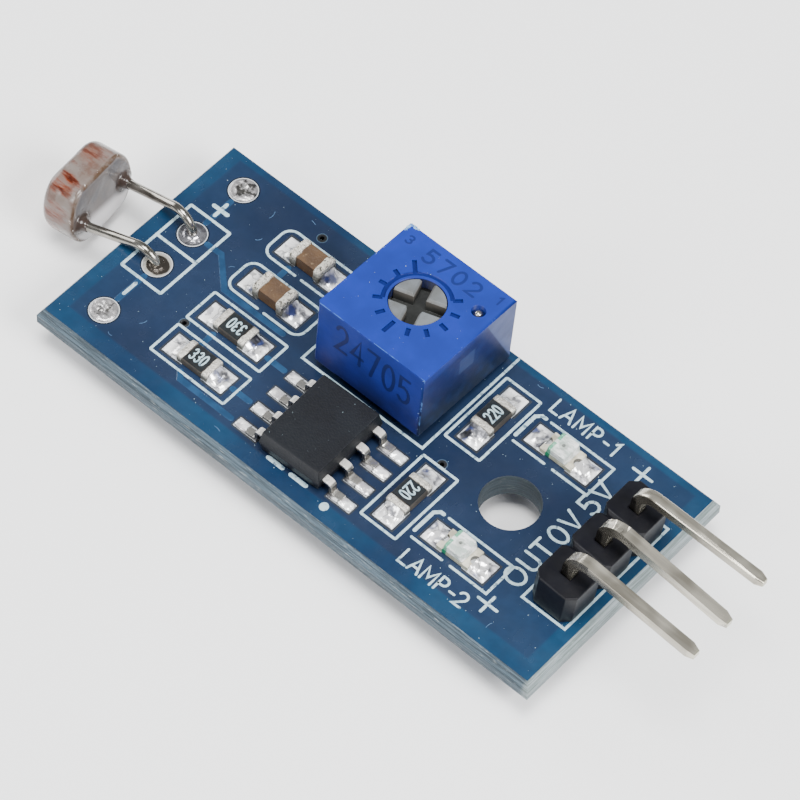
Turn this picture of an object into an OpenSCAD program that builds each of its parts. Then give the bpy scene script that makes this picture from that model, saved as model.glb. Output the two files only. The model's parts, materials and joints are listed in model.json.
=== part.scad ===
// Light sensor module: a photoresistor, a comparator chip and a trimmer on a small circuit board.
// The origin is the middle of the mounting hole at the board's underside; the header end is +X.

/* [Board] */
// Length of the board between its top edges
board_l = 32; // [31:0.5:36]
// Width of the board between its top edges
board_w = 14; // [13.6:0.2:18]
// Thickness of the board with its films
board_t = 1.6; // [1.2:0.2:2]
// Depth of the scored groove along each edge, from each face
score_depth = 0.5; // [0.3:0.1:0.5]
// How far the snapped web stands out past the top edge
score_out = 0.3; // [0.1:0.05:0.4]
// Thickness of the solder mask film and of the copper in it
film_t = 0.03; // [0.02:0.01:0.05]
// Wall of the copper sleeve in a plated hole
sleeve_t = 0.05; // [0.03:0.01:0.08]
// Diameter of the mounting hole
mount_hole_d = 3.2; // [2.4:0.1:3.4]
// Distance from the header end to the mounting hole
mount_hole_inset = 7.2; // [6.8:0.1:7.6]
// How far every wire tail stands out under the board
tail = 1.4; // [1:0.1:2]

/* [Photoresistor] */
// Diameter of the resin-coated disc
sensor_d = 5.1; // [4.6:0.1:5.6]
// Width of the disc across its two flats
sensor_flats = 4; // [3.8:0.1:4.4]
// Thickness of the coated disc
sensor_t = 2.1; // [1.9:0.1:2.6]
// Thickness of the clear resin over the ceramic
coat_t = 0.3; // [0.2:0.05:0.4]
// Diameter of the two wires
sensor_wire_d = 0.5; // [0.4:0.05:0.55]
// Distance between the wires where they leave the disc
sensor_wire_pitch = 3.46; // [3.2:0.02:3.5]
// Distance between the two wire holes in the board
sensor_hole_pitch = 2.62; // [2.54:0.02:3.2]
// Distance from the sensor end of the board to the wire holes
sensor_hole_inset = 2.23; // [2:0.05:2.6]
// Distance from the board's end to the back of the disc
sensor_reach = 2.8; // [2.5:0.1:6]
// Height of the disc's middle below the board's top face
sensor_drop = 0.3; // [0:0.1:1]
// How far the disc's back is tipped up
sensor_tip = 4.5; // [0:0.5:8]
// How far the disc's back is turned toward the trimmer side
sensor_turn = 5.5; // [0:0.5:8]
// Inside radius centre of the wires' bend over the board's edge
wire_bend_r = 1; // [0.8:0.05:1.2]
// Slope of the near wire from the disc up to its bend
near_slope = 19; // [18:1:26]
// Slope of the far wire from the disc up to its bend
far_slope = 23; // [18:1:28]
// Width of the winding light-sensitive line
track_w = 0.34; // [0.24:0.02:0.4]

/* [Trimmer] */
// Length of the case along the board
trimmer_l = 7; // [6.6:0.1:7.4]
// Width of the case across the board
trimmer_w = 6.9; // [6.4:0.1:7]
// Height of the case over the board
trimmer_h = 4.88; // [4.6:0.1:6]
// Height of the feet under the case
trimmer_foot_h = 0.38; // [0.3:0.02:0.5]
// Thickness of the case's roof
trimmer_roof_t = 0.75; // [0.6:0.05:0.9]
// Diameter of the turning head
rotor_d = 2.9; // [2.6:0.1:3.2]
// Running clearance round the turning head
rotor_gap = 0.05; // [0.03:0.01:0.08]
// Width of the cross slot
slot_w = 0.65; // [0.5:0.05:0.8]
// Depth of the cross slot
slot_depth = 0.8; // [0.6:0.05:0.9]
// Angle of the cross slot at rest, from the case's sides
rotor_rest = 19; // [0:1:40]
// How far the case stands turned on the board
trimmer_turn = 0; // [-2:0.1:2]
// How far the case leans back on its far feet
trimmer_lean = 3; // [0:0.5:4]
// Pitch of the wires' grid
trimmer_pitch = 2.54; // [2.4:0.02:2.6]
// Diameter of the trimmer's wires
trimmer_wire_d = 0.5; // [0.4:0.02:0.55]

/* [Comparator chip] */
// Width of the moulded body
chip_w = 3.9; // [3.8:0.05:4]
// Length of the moulded body
chip_l = 4.9; // [4.8:0.05:5]
// Height of the moulded body
chip_h = 1.45; // [1.25:0.05:1.6]
// Gap under the moulded body
chip_lift = 0.15; // [0.1:0.01:0.25]
// Distance across the tips of the leads
chip_span = 6.2; // [6:0.05:6.3]
// Pitch of the leads
chip_pitch = 1.27; // [1.25:0.01:1.29]
// Width of a lead
chip_lead_w = 0.42; // [0.33:0.01:0.5]
// Thickness of a lead
chip_lead_t = 0.2; // [0.15:0.01:0.25]

/* [Chip parts] */
// Length of a resistor, capacitor or lamp
chip_part_l = 2; // [1.9:0.05:2.1]
// Width of a resistor, capacitor or lamp
chip_part_w = 1.25; // [1.15:0.05:1.3]
// Height of a resistor
resistor_h = 0.5; // [0.4:0.05:0.6]
// Height of a capacitor
capacitor_h = 0.85; // [0.6:0.05:1.25]
// Height of a lamp
lamp_h = 0.8; // [0.7:0.05:1.1]
// Length of the metal at each end
end_l = 0.38; // [0.3:0.02:0.45]

/* [Header] */
// Number of pins
pin_count = 3; // [2:1:3]
// Pitch of the pins
pin_pitch = 2.54; // [2.5:0.02:2.54]
// Thickness of a square pin
pin_w = 0.6; // [0.56:0.02:0.64]
// Height of the moulded strip
header_h = 2.3; // [2:0.1:2.6]
// Width of the moulded strip
header_w = 2.5; // [2.3:0.05:2.6]
// Corner cut of each segment
header_cut = 0.42; // [0.3:0.02:0.5]
// Distance from the header end of the board to the pins
header_inset = 1.9; // [1.7:0.05:2.2]
// How far the strip leans out over the board's end
header_lean = 5; // [0:0.5:6]
// Height of the bent pins over the board's top
pin_rise = 4.25; // [4:0.05:5]
// Radius of the bend in each pin
pin_bend_r = 1.1; // [0.9:0.05:1.2]
// Length of the bent pins from their uprights to their tips
pin_reach = 7.7; // [6:0.1:9]

/* [Hidden] */
$fn = 48;
// Extra length of a cutting shape past the face it cuts
eps = 0.1;

// Parts between the ends of the board keep their share of its half length
half_l = board_l / 2;

// Board heights
core_bottom = film_t;
core_top = board_t - film_t;

// Mounting hole, from the middle of the board
mount_x = board_l / 2 - mount_hole_inset;
mount_y = 0.12;

// Photoresistor wire holes
sensor_hole_x = -board_l / 2 + sensor_hole_inset;
sensor_mid_y = 0.17;
sensor_near = [sensor_hole_x, sensor_mid_y - sensor_hole_pitch / 2];
sensor_far = [sensor_hole_x, sensor_mid_y + sensor_hole_pitch / 2];
// Middle of the disc's back face, and the directions out of its back, across it and up it
disc_mid = [-board_l / 2 - sensor_reach, sensor_mid_y - 0.07, board_t - sensor_drop];
disc_out = [cos(sensor_turn) * cos(sensor_tip), sin(sensor_turn) * cos(sensor_tip), sin(sensor_tip)];
disc_across = [-sin(sensor_turn), cos(sensor_turn), 0];
disc_up = cross(disc_out, disc_across);
// The wires leave a little below the disc's middle
wire_low = -0.19;
wire_stub = 0.3;
ceramic_d = sensor_d - 2 * coat_t;
ceramic_flats = sensor_flats - 2 * coat_t;
metal_t = 0.05;
ceramic_front = -sensor_t + coat_t + metal_t;
ceramic_back = -coat_t;
track_runs = 5;
rivet_d = 2 * sensor_wire_d;
rivet_t = 0.12;
// Each wire turns from the disc's bore to its slope in a ball inside the resin collar
elbow_d = 1.2 * sensor_wire_d;
collar_h = wire_stub + 0.2;

// Trimmer
trimmer_at = [-0.01925 * half_l, 3.03];
rotor_hole_d = rotor_d + 2 * rotor_gap;
trimmer_top = board_t + trimmer_h;
trimmer_bottom = board_t + trimmer_foot_h;
trimmer_wall = 0.7;
foot_w = 1.1;
foot_in = 0.2;
foot_x = (trimmer_l - foot_w) / 2 - foot_in;
foot_y = (trimmer_w - foot_w) / 2 - foot_in;
resin_t = 0.6;
substrate_t = 0.6;
resin_bottom = trimmer_bottom;
substrate_bottom = resin_bottom + resin_t;
substrate_top = substrate_bottom + substrate_t;
element_t = 0.04;
roof_bottom = trimmer_top - trimmer_roof_t;
chamber_d = 4.8;
flange_d = chamber_d - 0.2;
seal_r = 0.24;
seal_gap = 0.05;
flange_top = roof_bottom - 2 * seal_r - 2 * seal_gap;
flange_t = 0.8;
rotor_top = trimmer_top - 0.08;
seal_ring_r = rotor_d / 2 + rotor_gap + seal_r;
wiper_t = 0.12;
wiper_gap = 0.06;
element_r = 1.75;
element_w = 0.5;
element_top = substrate_top + element_t;
collector_d = 1.9;
wiper_hole_d = 1.6;
wiper_foot_y = 0.8;
dead_angle = 90;
trimmer_row_y = 1.65;
// Direction of the outer wires from the middle, off the case's width
tab_turn = round(atan2(trimmer_pitch, trimmer_row_y));
// Inside of the case: long enough for the outer wires with some ceramic past them
pin_margin = 0.12;
trimmer_inner = [
    2 * (trimmer_pitch + trimmer_wire_d / 2 + pin_margin),
    trimmer_w - 2 * trimmer_wall
];
trimmer_pins = [
    [trimmer_pitch, trimmer_row_y],
    [0, trimmer_row_y - trimmer_pitch],
    [-trimmer_pitch, trimmer_row_y]
];
peep_d = trimmer_wire_d + 0.28;
peep_depth = 0.08;
slot_bevel = 0.12;
slot_corner_r = 0.35;
case_corner = 0.14;
// Dial on the case's roof
dial_w = 0.24;
dial_rim = 0.12;
dial_r = rotor_hole_d / 2 + dial_rim + dial_w / 2;
dial_depth = 0.12;
tick_count = 11;
tick_span = 270;
tick_l = 0.5;
long_tick_l = 0.85;

// Comparator chip
chip_at = [-0.028 * half_l, -3.52];
chip_turn = 1.5;
chip_bottom = board_t + chip_lift;
chip_middle = chip_bottom + 0.45 * chip_h;
chip_top = chip_bottom + chip_h;
chip_draft = 0.14;
chip_rows = 4;
lead_foot_l = 0.45;
lead_inner_x = 1.5;
lead_bend_r = 0.24;
chip_pad = [1.6, 0.6];
chip_pad_x = 3.06;
paddle = [2.2, 3, 0.2];
die = [1.3, 1.6, 0.25];

// Chip parts: place on the board and turn
resistors = [
    [-0.5 * half_l, -1.5, 0],
    [-0.5 * half_l, -4.15, 0],
    [0.3075 * half_l, 3.3, 90],
    [0.3075 * half_l, -3, 90]
];
capacitors = [
    [-0.497 * half_l, 4.15, 0],
    [-0.497 * half_l, 1.35, 0]
];
lamps = [
    [0.5525 * half_l, 4.03, 0],
    [0.5525 * half_l, -3.7, 0]
];
part_pad = [1.35, chip_part_w + 0.05];
part_pad_out = 2;
plating_t = 0.04;
film_h = 0.05;
film_side = 0.03;
cap_plating_t = 0.05;
lamp_base_h = 0.3;
lens_l = 1.3;
lens_draft = 0.12;
lamp_notch_r = 0.3;
lamp_die = [0.3, 0.3, 0.15];

// Header
pin_x = board_l / 2 - header_inset;
pin_mid_y = 0.3;
lean_z = board_t / 2;
// Height of the strip's underside before it leans, so that its outer edge stands on the board
groove_w = 0.36;
groove_depth = 0.2;
strip_bottom = lean_z + (board_t - lean_z + header_w / 2 * sin(header_lean)) / cos(header_lean);
// How far each pin droops below the board's plane, and how far it is turned to the near side
pin_droops = [4, 5.2, 1.2];
pin_turns = [1, 1.6, 0.2];
// How much lower each pin's bend sits
pin_drops = [0, 0, 0.09];
tip_l = 0.45;
tip_w = 0.38;

// Round holes: place, drill, land
lead_drill = sensor_wire_d + 0.4;
pin_drill = pin_w + 0.5;
trimmer_drill = trimmer_wire_d + 0.4;
pad_drill = 1;
via_drill = 0.35;
lead_land = 1.6;
pin_land = 1.7;
trimmer_land = 1.5;
via_land = 0.6;
round_pads = [
    [sensor_hole_x, 5.3],
    [sensor_hole_x, -5.03]
];
vias = [
    [-0.548 * half_l, 5.79],
    [-0.642 * half_l, -2.86],
    [0.303 * half_l, -0.46]
];
header_holes = [for (i = [0:pin_count - 1]) [pin_x, pin_mid_y + (i - 1) * pin_pitch]];
trimmer_holes = [for (p = trimmer_pins) trimmer_at + p];
lands = concat(
    [for (p = [sensor_near, sensor_far]) [p, lead_drill, lead_land]],
    [for (p = round_pads) [p, pad_drill, lead_land]],
    [for (p = header_holes) [p, pin_drill, pin_land]],
    [for (p = trimmer_holes) [p, trimmer_drill, trimmer_land]],
    [for (p = vias) [p, via_drill, via_land]]
);
chip_part_places = concat(resistors, capacitors, lamps);

// Moves a piece from the middle of the board to the mounting hole's frame
module on_board() {
    translate([-mount_x, -mount_y, 0]) children();
}

module at(place, z = 0) {
    translate([place[0], place[1], z]) children();
}

module at_turned(place, z = 0) {
    translate([place[0], place[1], z]) rotate([0, 0, place[2]]) children();
}

// A block centred in X and Y that stands on z
module block(size, z = 0) {
    translate([-size[0] / 2, -size[1] / 2, z]) cube(size);
}

module pin_hole(d, z1, z2) {
    translate([0, 0, z1 - eps]) cylinder(d = d, h = z2 - z1 + 2 * eps);
}

// An outline in X and Z carried along Y
module across_y(length) {
    rotate([90, 0, 0]) linear_extrude(height = length, center = true) children();
}

// An outline in Y and Z carried along X
module along_x(length) {
    rotate([90, 0, 90]) linear_extrude(height = length, center = true) children();
}

// Board

// Section of the sheet: square at each face, out to the snapped web between the two score grooves
module snapped_section(half) {
    polygon([
        [-half, core_bottom],
        [-half - score_out, score_depth],
        [-half - score_out, board_t - score_depth],
        [-half, core_top],
        [half, core_top],
        [half + score_out, board_t - score_depth],
        [half + score_out, score_depth],
        [half, core_bottom]
    ]);
}

module board_core() {
    color("#8f9c94") on_board() difference() {
        intersection() {
            across_y(board_w + 4 * score_out) snapped_section(board_l / 2);
            along_x(board_l + 4 * score_out) snapped_section(board_w / 2);
        }
        at([mount_x, mount_y]) pin_hole(mount_hole_d, 0, board_t);
        for (land = lands) at(land[0]) pin_hole(land[1], 0, board_t);
    }
}

module film(z) {
    difference() {
        block([board_l, board_w, film_t], z);
        at([mount_x, mount_y]) pin_hole(mount_hole_d, z, z + film_t);
        for (land = lands) at(land[0]) pin_hole(land[2], z, z + film_t);
        children();
    }
}

module part_pads(extra) {
    for (place = chip_part_places, side = [-1, 1]) {
        at_turned(place)
            translate([side * (part_pad_out - part_pad[0] / 2), 0, 0])
            block([part_pad[0], part_pad[1], film_t + 2 * extra], core_top - extra);
    }
}

module chip_pads(extra) {
    for (side = [-1, 1], row = [0:chip_rows - 1]) {
        at(chip_at)
            translate([side * chip_pad_x, (row - (chip_rows - 1) / 2) * chip_pitch, 0])
            block([chip_pad[0], chip_pad[1], film_t + 2 * extra], core_top - extra);
    }
}

module mask_top() {
    color("#2f6596") on_board() film(core_top) {
        part_pads(eps);
        chip_pads(eps);
    }
}

module mask_bottom() {
    color("#2f6596") on_board() film(0);
}

module surface_pads() {
    color("#c9ccce") on_board() {
        part_pads(0);
        chip_pads(0);
    }
}

// A copper sleeve with a flat ring on each face
module eyelet(drill, land) {
    difference() {
        union() {
            cylinder(d = drill, h = board_t);
            cylinder(d = land, h = film_t);
            translate([0, 0, core_top]) cylinder(d = land, h = film_t);
        }
        pin_hole(drill - 2 * sleeve_t, 0, board_t);
    }
}

module plated_holes() {
    color("#c9ccce") on_board() {
        for (land = lands) at(land[0]) eyelet(land[1], land[2]);
    }
}

// Photoresistor

// The disc's frame: Z out of its back, X across, Y up
module in_disc() {
    translate(disc_mid)
        rotate([0, 0, sensor_turn])
        rotate([0, -sensor_tip, 0])
        rotate([90, 0, 90])
        children();
}

// A round plate with two flats
module flatted_plate(d, flats, z1, z2) {
    intersection() {
        translate([0, 0, z1]) cylinder(d = d, h = z2 - z1);
        block([2 * d, flats, z2 - z1 + 2 * eps], z1 - eps);
    }
}

// Rounded half section of the resin-coated disc, from its axis out
module rounded_half(r, t, round_r) {
    square([r - round_r, t]);
    translate([0, round_r]) square([r, t - 2 * round_r]);
    translate([r - round_r, round_r]) circle(r = round_r);
    translate([r - round_r, t - round_r]) circle(r = round_r);
}

module rounded_slab(w, t, round_r) {
    rounded_half(w / 2, t, round_r);
    mirror([1, 0]) rounded_half(w / 2, t, round_r);
}

// Bores for the two wires, from z to well past the disc's back
module wire_bores(z) {
    for (side = [-1, 1]) {
        translate([side * sensor_wire_pitch / 2, wire_low, z])
            cylinder(d = sensor_wire_d, h = 2 * sensor_t);
    }
}

module sensor_disc() {
    color("#e8e2da") on_board() in_disc() difference() {
        flatted_plate(ceramic_d, ceramic_flats, ceramic_front, ceramic_back);
        wire_bores(ceramic_front - eps);
    }
}

// The winding line: level runs joined at alternate ends, open to the rim at its two ends
module winding(z1, z2) {
    pitch = ceramic_flats / (track_runs + 0.4);
    reach = sensor_wire_pitch / 2 - rivet_d / 2 - 0.15;
    h = z2 - z1;
    for (i = [0:track_runs - 1]) {
        y = (i - (track_runs - 1) / 2) * pitch;
        translate([0, y, 0]) block([2 * reach, track_w, h], z1);
    }
    for (i = [0:track_runs]) {
        y = (i - track_runs / 2) * pitch;
        side = i % 2 == 0 ? 1 : -1;
        translate([side * (reach - track_w / 2), y, 0]) block([track_w, pitch + track_w, h], z1);
    }
}

module sensor_track() {
    color("#b5402a") on_board() in_disc() intersection() {
        flatted_plate(ceramic_d, ceramic_flats, ceramic_front - metal_t, ceramic_front);
        winding(ceramic_front - metal_t - eps, ceramic_front + eps);
    }
}

module sensor_electrodes() {
    color("#d9c9a8") on_board() in_disc() difference() {
        flatted_plate(ceramic_d, ceramic_flats, ceramic_front - metal_t, ceramic_front);
        winding(ceramic_front - metal_t - eps, ceramic_front + eps);
        wire_bores(ceramic_front - metal_t - eps);
    }
}

// The rounded disc of resin, with a collar up each wire
module coat_outside() {
    round_r = 1.3 * coat_t;
    intersection() {
        translate([0, 0, -sensor_t]) rotate_extrude() rounded_half(sensor_d / 2, sensor_t, round_r);
        along_x(2 * sensor_d) translate([0, -sensor_t]) rounded_slab(sensor_flats, sensor_t, round_r);
    }
    for (side = [-1, 1]) {
        translate([side * sensor_wire_pitch / 2, wire_low, -coat_t])
            cylinder(d1 = 2.6 * sensor_wire_d, d2 = 1.25 * sensor_wire_d, h = coat_t + collar_h);
    }
}

module sensor_coat() {
    color("#d8c8c6") on_board() difference() {
        in_disc() coat_outside();
        in_disc() flatted_plate(ceramic_d, ceramic_flats, ceramic_front - metal_t, ceramic_back);
        near_wire();
        far_wire();
    }
}

// One bent wire. side is -1 for the near wire and 1 for the far one, hole is its place on the board.
// It lies in the upright plane from the hole to its exit from the disc: up out of the hole, over a bend
// that starts upright and ends at the slope, and straight down to the exit.
module sensor_wire(side, hole, slope) {
    exit = disc_mid
        + side * sensor_wire_pitch / 2 * disc_across
        + wire_low * disc_up
        + wire_stub * disc_out;
    run = [exit[0] - hole[0], exit[1] - hole[1]];
    far = norm(run);
    heading = atan2(run[1], run[0]);
    leave = 90 - slope;
    span = far - wire_bend_r;
    fall = (wire_bend_r - span * cos(leave)) / sin(leave);
    centre_z = exit[2] - fall;
    straight = sqrt(span * span + fall * fall - wire_bend_r * wire_bend_r);
    r = sensor_wire_d / 2;
    at(hole) rotate([0, 0, heading]) translate([wire_bend_r, 0, centre_z]) rotate([90, 0, 0]) {
        translate([-wire_bend_r, 0, 0]) rotate([90, 0, 0]) cylinder(r = r, h = tail + centre_z);
        rotate([0, 0, leave]) {
            rotate_extrude(angle = 180 - leave) translate([wire_bend_r, 0]) circle(r = r);
            translate([wire_bend_r, 0, 0]) rotate([90, 0, 0]) cylinder(r = r, h = straight);
            translate([wire_bend_r, -straight, 0]) sphere(d = elbow_d);
        }
    }
    in_disc() translate([side * sensor_wire_pitch / 2, wire_low, ceramic_front - metal_t]) {
        cylinder(r = r, h = wire_stub - ceramic_front + metal_t);
        translate([0, 0, -rivet_t]) cylinder(d = rivet_d, h = rivet_t);
    }
}

module near_wire() {
    sensor_wire(-1, sensor_near, near_slope);
}

module far_wire() {
    sensor_wire(1, sensor_far, far_slope);
}

module sensor_lead_near() {
    color("#b9b7b2") on_board() near_wire();
}

module sensor_lead_far() {
    color("#b9b7b2") on_board() far_wire();
}

// Trimmer

// The case stands on the board on its two far feet and leans back over them
module in_trimmer() {
    edge_y = foot_y + foot_w / 2;
    on_board()
        at(trimmer_at)
        rotate([0, 0, trimmer_turn])
        translate([0, edge_y, board_t])
        rotate([-trimmer_lean, 0, 0])
        translate([0, -edge_y, -board_t])
        children();
}

// A ring sector from angle a1 to a2, counter-clockwise, under a half turn
module ring_sector(r1, r2, a1, a2, z1, z2) {
    rotate([0, 0, a1])
        rotate_extrude(angle = a2 - a1)
        translate([r1, z1])
        square([r2 - r1, z2 - z1]);
}

// Grooves moulded in the roof: an arc over the dead angle and ticks round the travel
module dial() {
    start = -90 - tick_span / 2;
    step = tick_span / (tick_count - 1);
    z = trimmer_top - dial_depth;
    ring_sector(dial_r - dial_w / 2, dial_r + dial_w / 2, start + tick_span, start + 360, z, z + 1);
    ring_sector(dial_r - dial_w / 2, dial_r + dial_w / 2, start, start + 3 * step, z, z + 1);
    for (i = [0:tick_count - 1]) {
        l = (i == 0 || i == (tick_count - 1) / 2) ? long_tick_l : tick_l;
        rotate([0, 0, start + i * step])
            translate([dial_r, -dial_w / 2, z])
            cube([l, dial_w, 1]);
    }
}

// The case from above, one near corner cut off
module case_outline() {
    a = trimmer_l / 2;
    b = trimmer_w / 2;
    polygon([[-a, -b + case_corner], [-a, b], [a, b], [a, -b], [-a + case_corner, -b]]);
}

module trimmer_housing() {
    color("#2f57b8") in_trimmer() difference() {
        union() {
            translate([0, 0, trimmer_bottom])
                linear_extrude(height = trimmer_top - trimmer_bottom)
                case_outline();
            for (sx = [-1, 1], sy = [-1, 1]) {
                translate([sx * foot_x, sy * foot_y, 0])
                    block([foot_w, foot_w, trimmer_foot_h], board_t);
            }
        }
        block([trimmer_inner[0], trimmer_inner[1], element_top - board_t], board_t);
        pin_hole(chamber_d, substrate_top, roof_bottom - eps);
        pin_hole(rotor_hole_d, roof_bottom, trimmer_top);
        at(trimmer_pins[0]) pin_hole(peep_d, substrate_top, trimmer_top);
        dial();
    }
}

// Section across a slot arm: straight walls with a bevelled mouth
module slot_section() {
    h = slot_w / 2;
    polygon([
        [-h, rotor_top - slot_depth], [h, rotor_top - slot_depth],
        [h, rotor_top - slot_bevel], [h + slot_bevel, rotor_top],
        [h + slot_bevel, rotor_top + eps], [-h - slot_bevel, rotor_top + eps],
        [-h - slot_bevel, rotor_top], [-h, rotor_top - slot_bevel]
    ]);
}

// A cross of two arms; the two near quarters have rounded inner corners
module cross_slot() {
    across_y(rotor_d + 2 * eps) slot_section();
    along_x(rotor_d + 2 * eps) slot_section();
    inner = slot_w / 2;
    r = slot_corner_r;
    for (side = [-1, 1]) {
        translate([side * inner, -inner, rotor_top - slot_depth])
            linear_extrude(height = slot_depth + eps)
            difference() {
                translate([(side - 1) * r / 2, -r]) square(r);
                translate([side * r, -r]) circle(r = r);
            }
    }
}

module trimmer_rotor() {
    color("#b9b4aa") in_trimmer() rotate([0, 0, rotor_rest]) difference() {
        union() {
            translate([0, 0, flange_top - flange_t]) cylinder(d = flange_d, h = flange_t);
            cylinder_between(rotor_d, flange_top, rotor_top);
        }
        cross_slot();
    }
}

module cylinder_between(d, z1, z2) {
    translate([0, 0, z1]) cylinder(d = d, h = z2 - z1);
}

// Sprung contact: a plate under the rotor, a middle foot and an outer foot joined by two arms
module trimmer_wiper() {
    plate_z = flange_top - flange_t - wiper_t;
    foot_z = element_top + wiper_gap;
    color("#c8a860") in_trimmer() rotate([0, 0, rotor_rest]) {
        difference() {
            cylinder_between(2 * element_r, plate_z, plate_z + wiper_t);
            pin_hole(wiper_hole_d, plate_z, plate_z + wiper_t);
        }
        for (reach = [-element_r, -wiper_foot_y]) {
            translate([0, reach, 0]) block([element_w, 2 * wiper_t, plate_z - foot_z], foot_z);
        }
        translate([0, -wiper_foot_y, 0]) block([element_w, element_w, wiper_t], plate_z);
    }
}

module trimmer_seal_ring() {
    color("#2a2a2c") in_trimmer()
        translate([0, 0, flange_top + seal_gap + seal_r])
        rotate_extrude()
        translate([seal_ring_r, 0])
        circle(r = seal_r);
}

module trimmer_substrate() {
    color("#ece7dc") in_trimmer() difference() {
        block([trimmer_inner[0], trimmer_inner[1], substrate_t], substrate_bottom);
        for (p = trimmer_pins) at(p) pin_hole(trimmer_wire_d, substrate_bottom, substrate_top);
    }
}

// Horseshoe of resistive ink with the collector in its middle
module trimmer_element() {
    color("#3a332e") in_trimmer() difference() {
        union() {
            for (half = [0, 1]) {
                ring_sector(
                    element_r - element_w / 2,
                    element_r + element_w / 2,
                    -90 + (half - 1) * tick_span / 2,
                    -90 + half * tick_span / 2,
                    substrate_top,
                    element_top
                );
            }
            cylinder_between(collector_d, substrate_top, element_top);
            for (side = [-1, 1]) {
                rotate([0, 0, 90 - side * tab_turn])
                    translate([element_r, -element_w / 2, substrate_top])
                    cube([norm(trimmer_pins[0]) - element_r, element_w, element_t]);
            }
        }
        for (p = trimmer_pins) at(p) pin_hole(trimmer_wire_d, substrate_top, element_top);
    }
}

module trimmer_resin() {
    color("#3d4a63") in_trimmer() difference() {
        block([trimmer_inner[0], trimmer_inner[1], resin_t], resin_bottom);
        for (p = trimmer_pins) at(p) pin_hole(trimmer_wire_d, resin_bottom, substrate_bottom);
    }
}

module trimmer_wire(p, top) {
    color("#c2c0ba") in_trimmer() at(p) cylinder_between(trimmer_wire_d, -tail, top);
}

// The first wire runs up to the peep hole in the roof and ends in a ball
module trimmer_pin_1() {
    ball_z = trimmer_top - peep_depth - trimmer_wire_d / 2;
    trimmer_wire(trimmer_pins[0], ball_z);
    color("#c2c0ba") in_trimmer() at(trimmer_pins[0], ball_z) sphere(d = trimmer_wire_d);
}

module trimmer_pin_2() {
    trimmer_wire(trimmer_pins[1], element_top);
}

module trimmer_pin_3() {
    trimmer_wire(trimmer_pins[2], element_top);
}

// Comparator chip

// Section of the moulded body: widest at the leads, drawn in above and below
module drafted_section(half) {
    polygon([
        [-half + chip_draft, chip_bottom],
        [-half, chip_middle],
        [-half + chip_draft, chip_top],
        [half - chip_draft, chip_top],
        [half, chip_middle],
        [half - chip_draft, chip_bottom]
    ]);
}

// Points on an arc round c from angle a1 to a2
function arc_points(c, r, a1, a2, n) =
    [for (i = [0:n]) [c[0] + r * cos(a1 + (a2 - a1) * i / n), c[1] + r * sin(a1 + (a2 - a1) * i / n)]];

// Outline of one gull-wing lead in X and Z: level out of the body, over, down and out into its foot
module lead_outline() {
    t = chip_lead_t;
    inner_r = lead_bend_r - t / 2;
    outer_r = lead_bend_r + t / 2;
    foot_x = chip_span / 2 - lead_foot_l;
    down_x = foot_x - lead_bend_r;
    top_c = [down_x - lead_bend_r, chip_middle - lead_bend_r];
    foot_c = [foot_x, board_t + t / 2 + lead_bend_r];
    polygon(concat(
        [[lead_inner_x, chip_middle + t / 2]],
        arc_points(top_c, outer_r, 90, 0, 6),
        arc_points(foot_c, inner_r, 180, 270, 6),
        [[chip_span / 2, board_t + t]],
        [[chip_span / 2, board_t]],
        arc_points(foot_c, outer_r, 270, 180, 6),
        arc_points(top_c, inner_r, 0, 90, 6),
        [[lead_inner_x, chip_middle - t / 2]]
    ));
}

// The chip sits a little turned on its pads
module on_chip() {
    on_board() at(chip_at) rotate([0, 0, chip_turn]) children();
}

module chip_lead_set() {
    for (turn = [0, 180], row = [0:chip_rows - 1]) {
        rotate([0, 0, turn])
            translate([0, (row - (chip_rows - 1) / 2) * chip_pitch, 0])
            across_y(chip_lead_w)
            lead_outline();
    }
}

module chip_leads() {
    color("#c4c6c8") on_chip() chip_lead_set();
}

module chip_body() {
    color("#2b2d33") on_chip() difference() {
        intersection() {
            across_y(chip_l + eps) drafted_section(chip_w / 2);
            along_x(chip_w + eps) drafted_section(chip_l / 2);
        }
        chip_lead_set();
        block(paddle, chip_middle - paddle[2] / 2);
        block(die, chip_middle + paddle[2] / 2);
    }
}

module chip_paddle() {
    color("#b98a54") on_chip() block(paddle, chip_middle - paddle[2] / 2);
}

module chip_die() {
    color("#6d7078") on_chip() block(die, chip_middle + paddle[2] / 2);
}

// Chip resistors

module resistor_ceramic(place) {
    color("#e9e6df") on_board() at_turned(place, board_t)
        block([chip_part_l - 2 * plating_t, chip_part_w, resistor_h - 2 * plating_t], plating_t);
}

module resistor_film(place) {
    color("#1d1c1f") on_board() at_turned(place, board_t)
        block([chip_part_l - 2 * end_l, chip_part_w - 2 * film_side, film_h], resistor_h - plating_t);
}

module resistor_ends(place) {
    color("#c9ccce") on_board() at_turned(place, board_t) difference() {
        for (side = [-1, 1]) {
            translate([side * (chip_part_l - end_l) / 2, 0, 0]) block([end_l, chip_part_w, resistor_h]);
        }
        block([chip_part_l - 2 * plating_t, chip_part_w + eps, resistor_h - 2 * plating_t], plating_t);
    }
}

module resistor_1_ceramic() {
    resistor_ceramic(resistors[0]);
}

module resistor_1_film() {
    resistor_film(resistors[0]);
}

module resistor_1_ends() {
    resistor_ends(resistors[0]);
}

module resistor_2_ceramic() {
    resistor_ceramic(resistors[1]);
}

module resistor_2_film() {
    resistor_film(resistors[1]);
}

module resistor_2_ends() {
    resistor_ends(resistors[1]);
}

module resistor_3_ceramic() {
    resistor_ceramic(resistors[2]);
}

module resistor_3_film() {
    resistor_film(resistors[2]);
}

module resistor_3_ends() {
    resistor_ends(resistors[2]);
}

module resistor_4_ceramic() {
    resistor_ceramic(resistors[3]);
}

module resistor_4_film() {
    resistor_film(resistors[3]);
}

module resistor_4_ends() {
    resistor_ends(resistors[3]);
}

// Chip capacitors

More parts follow.
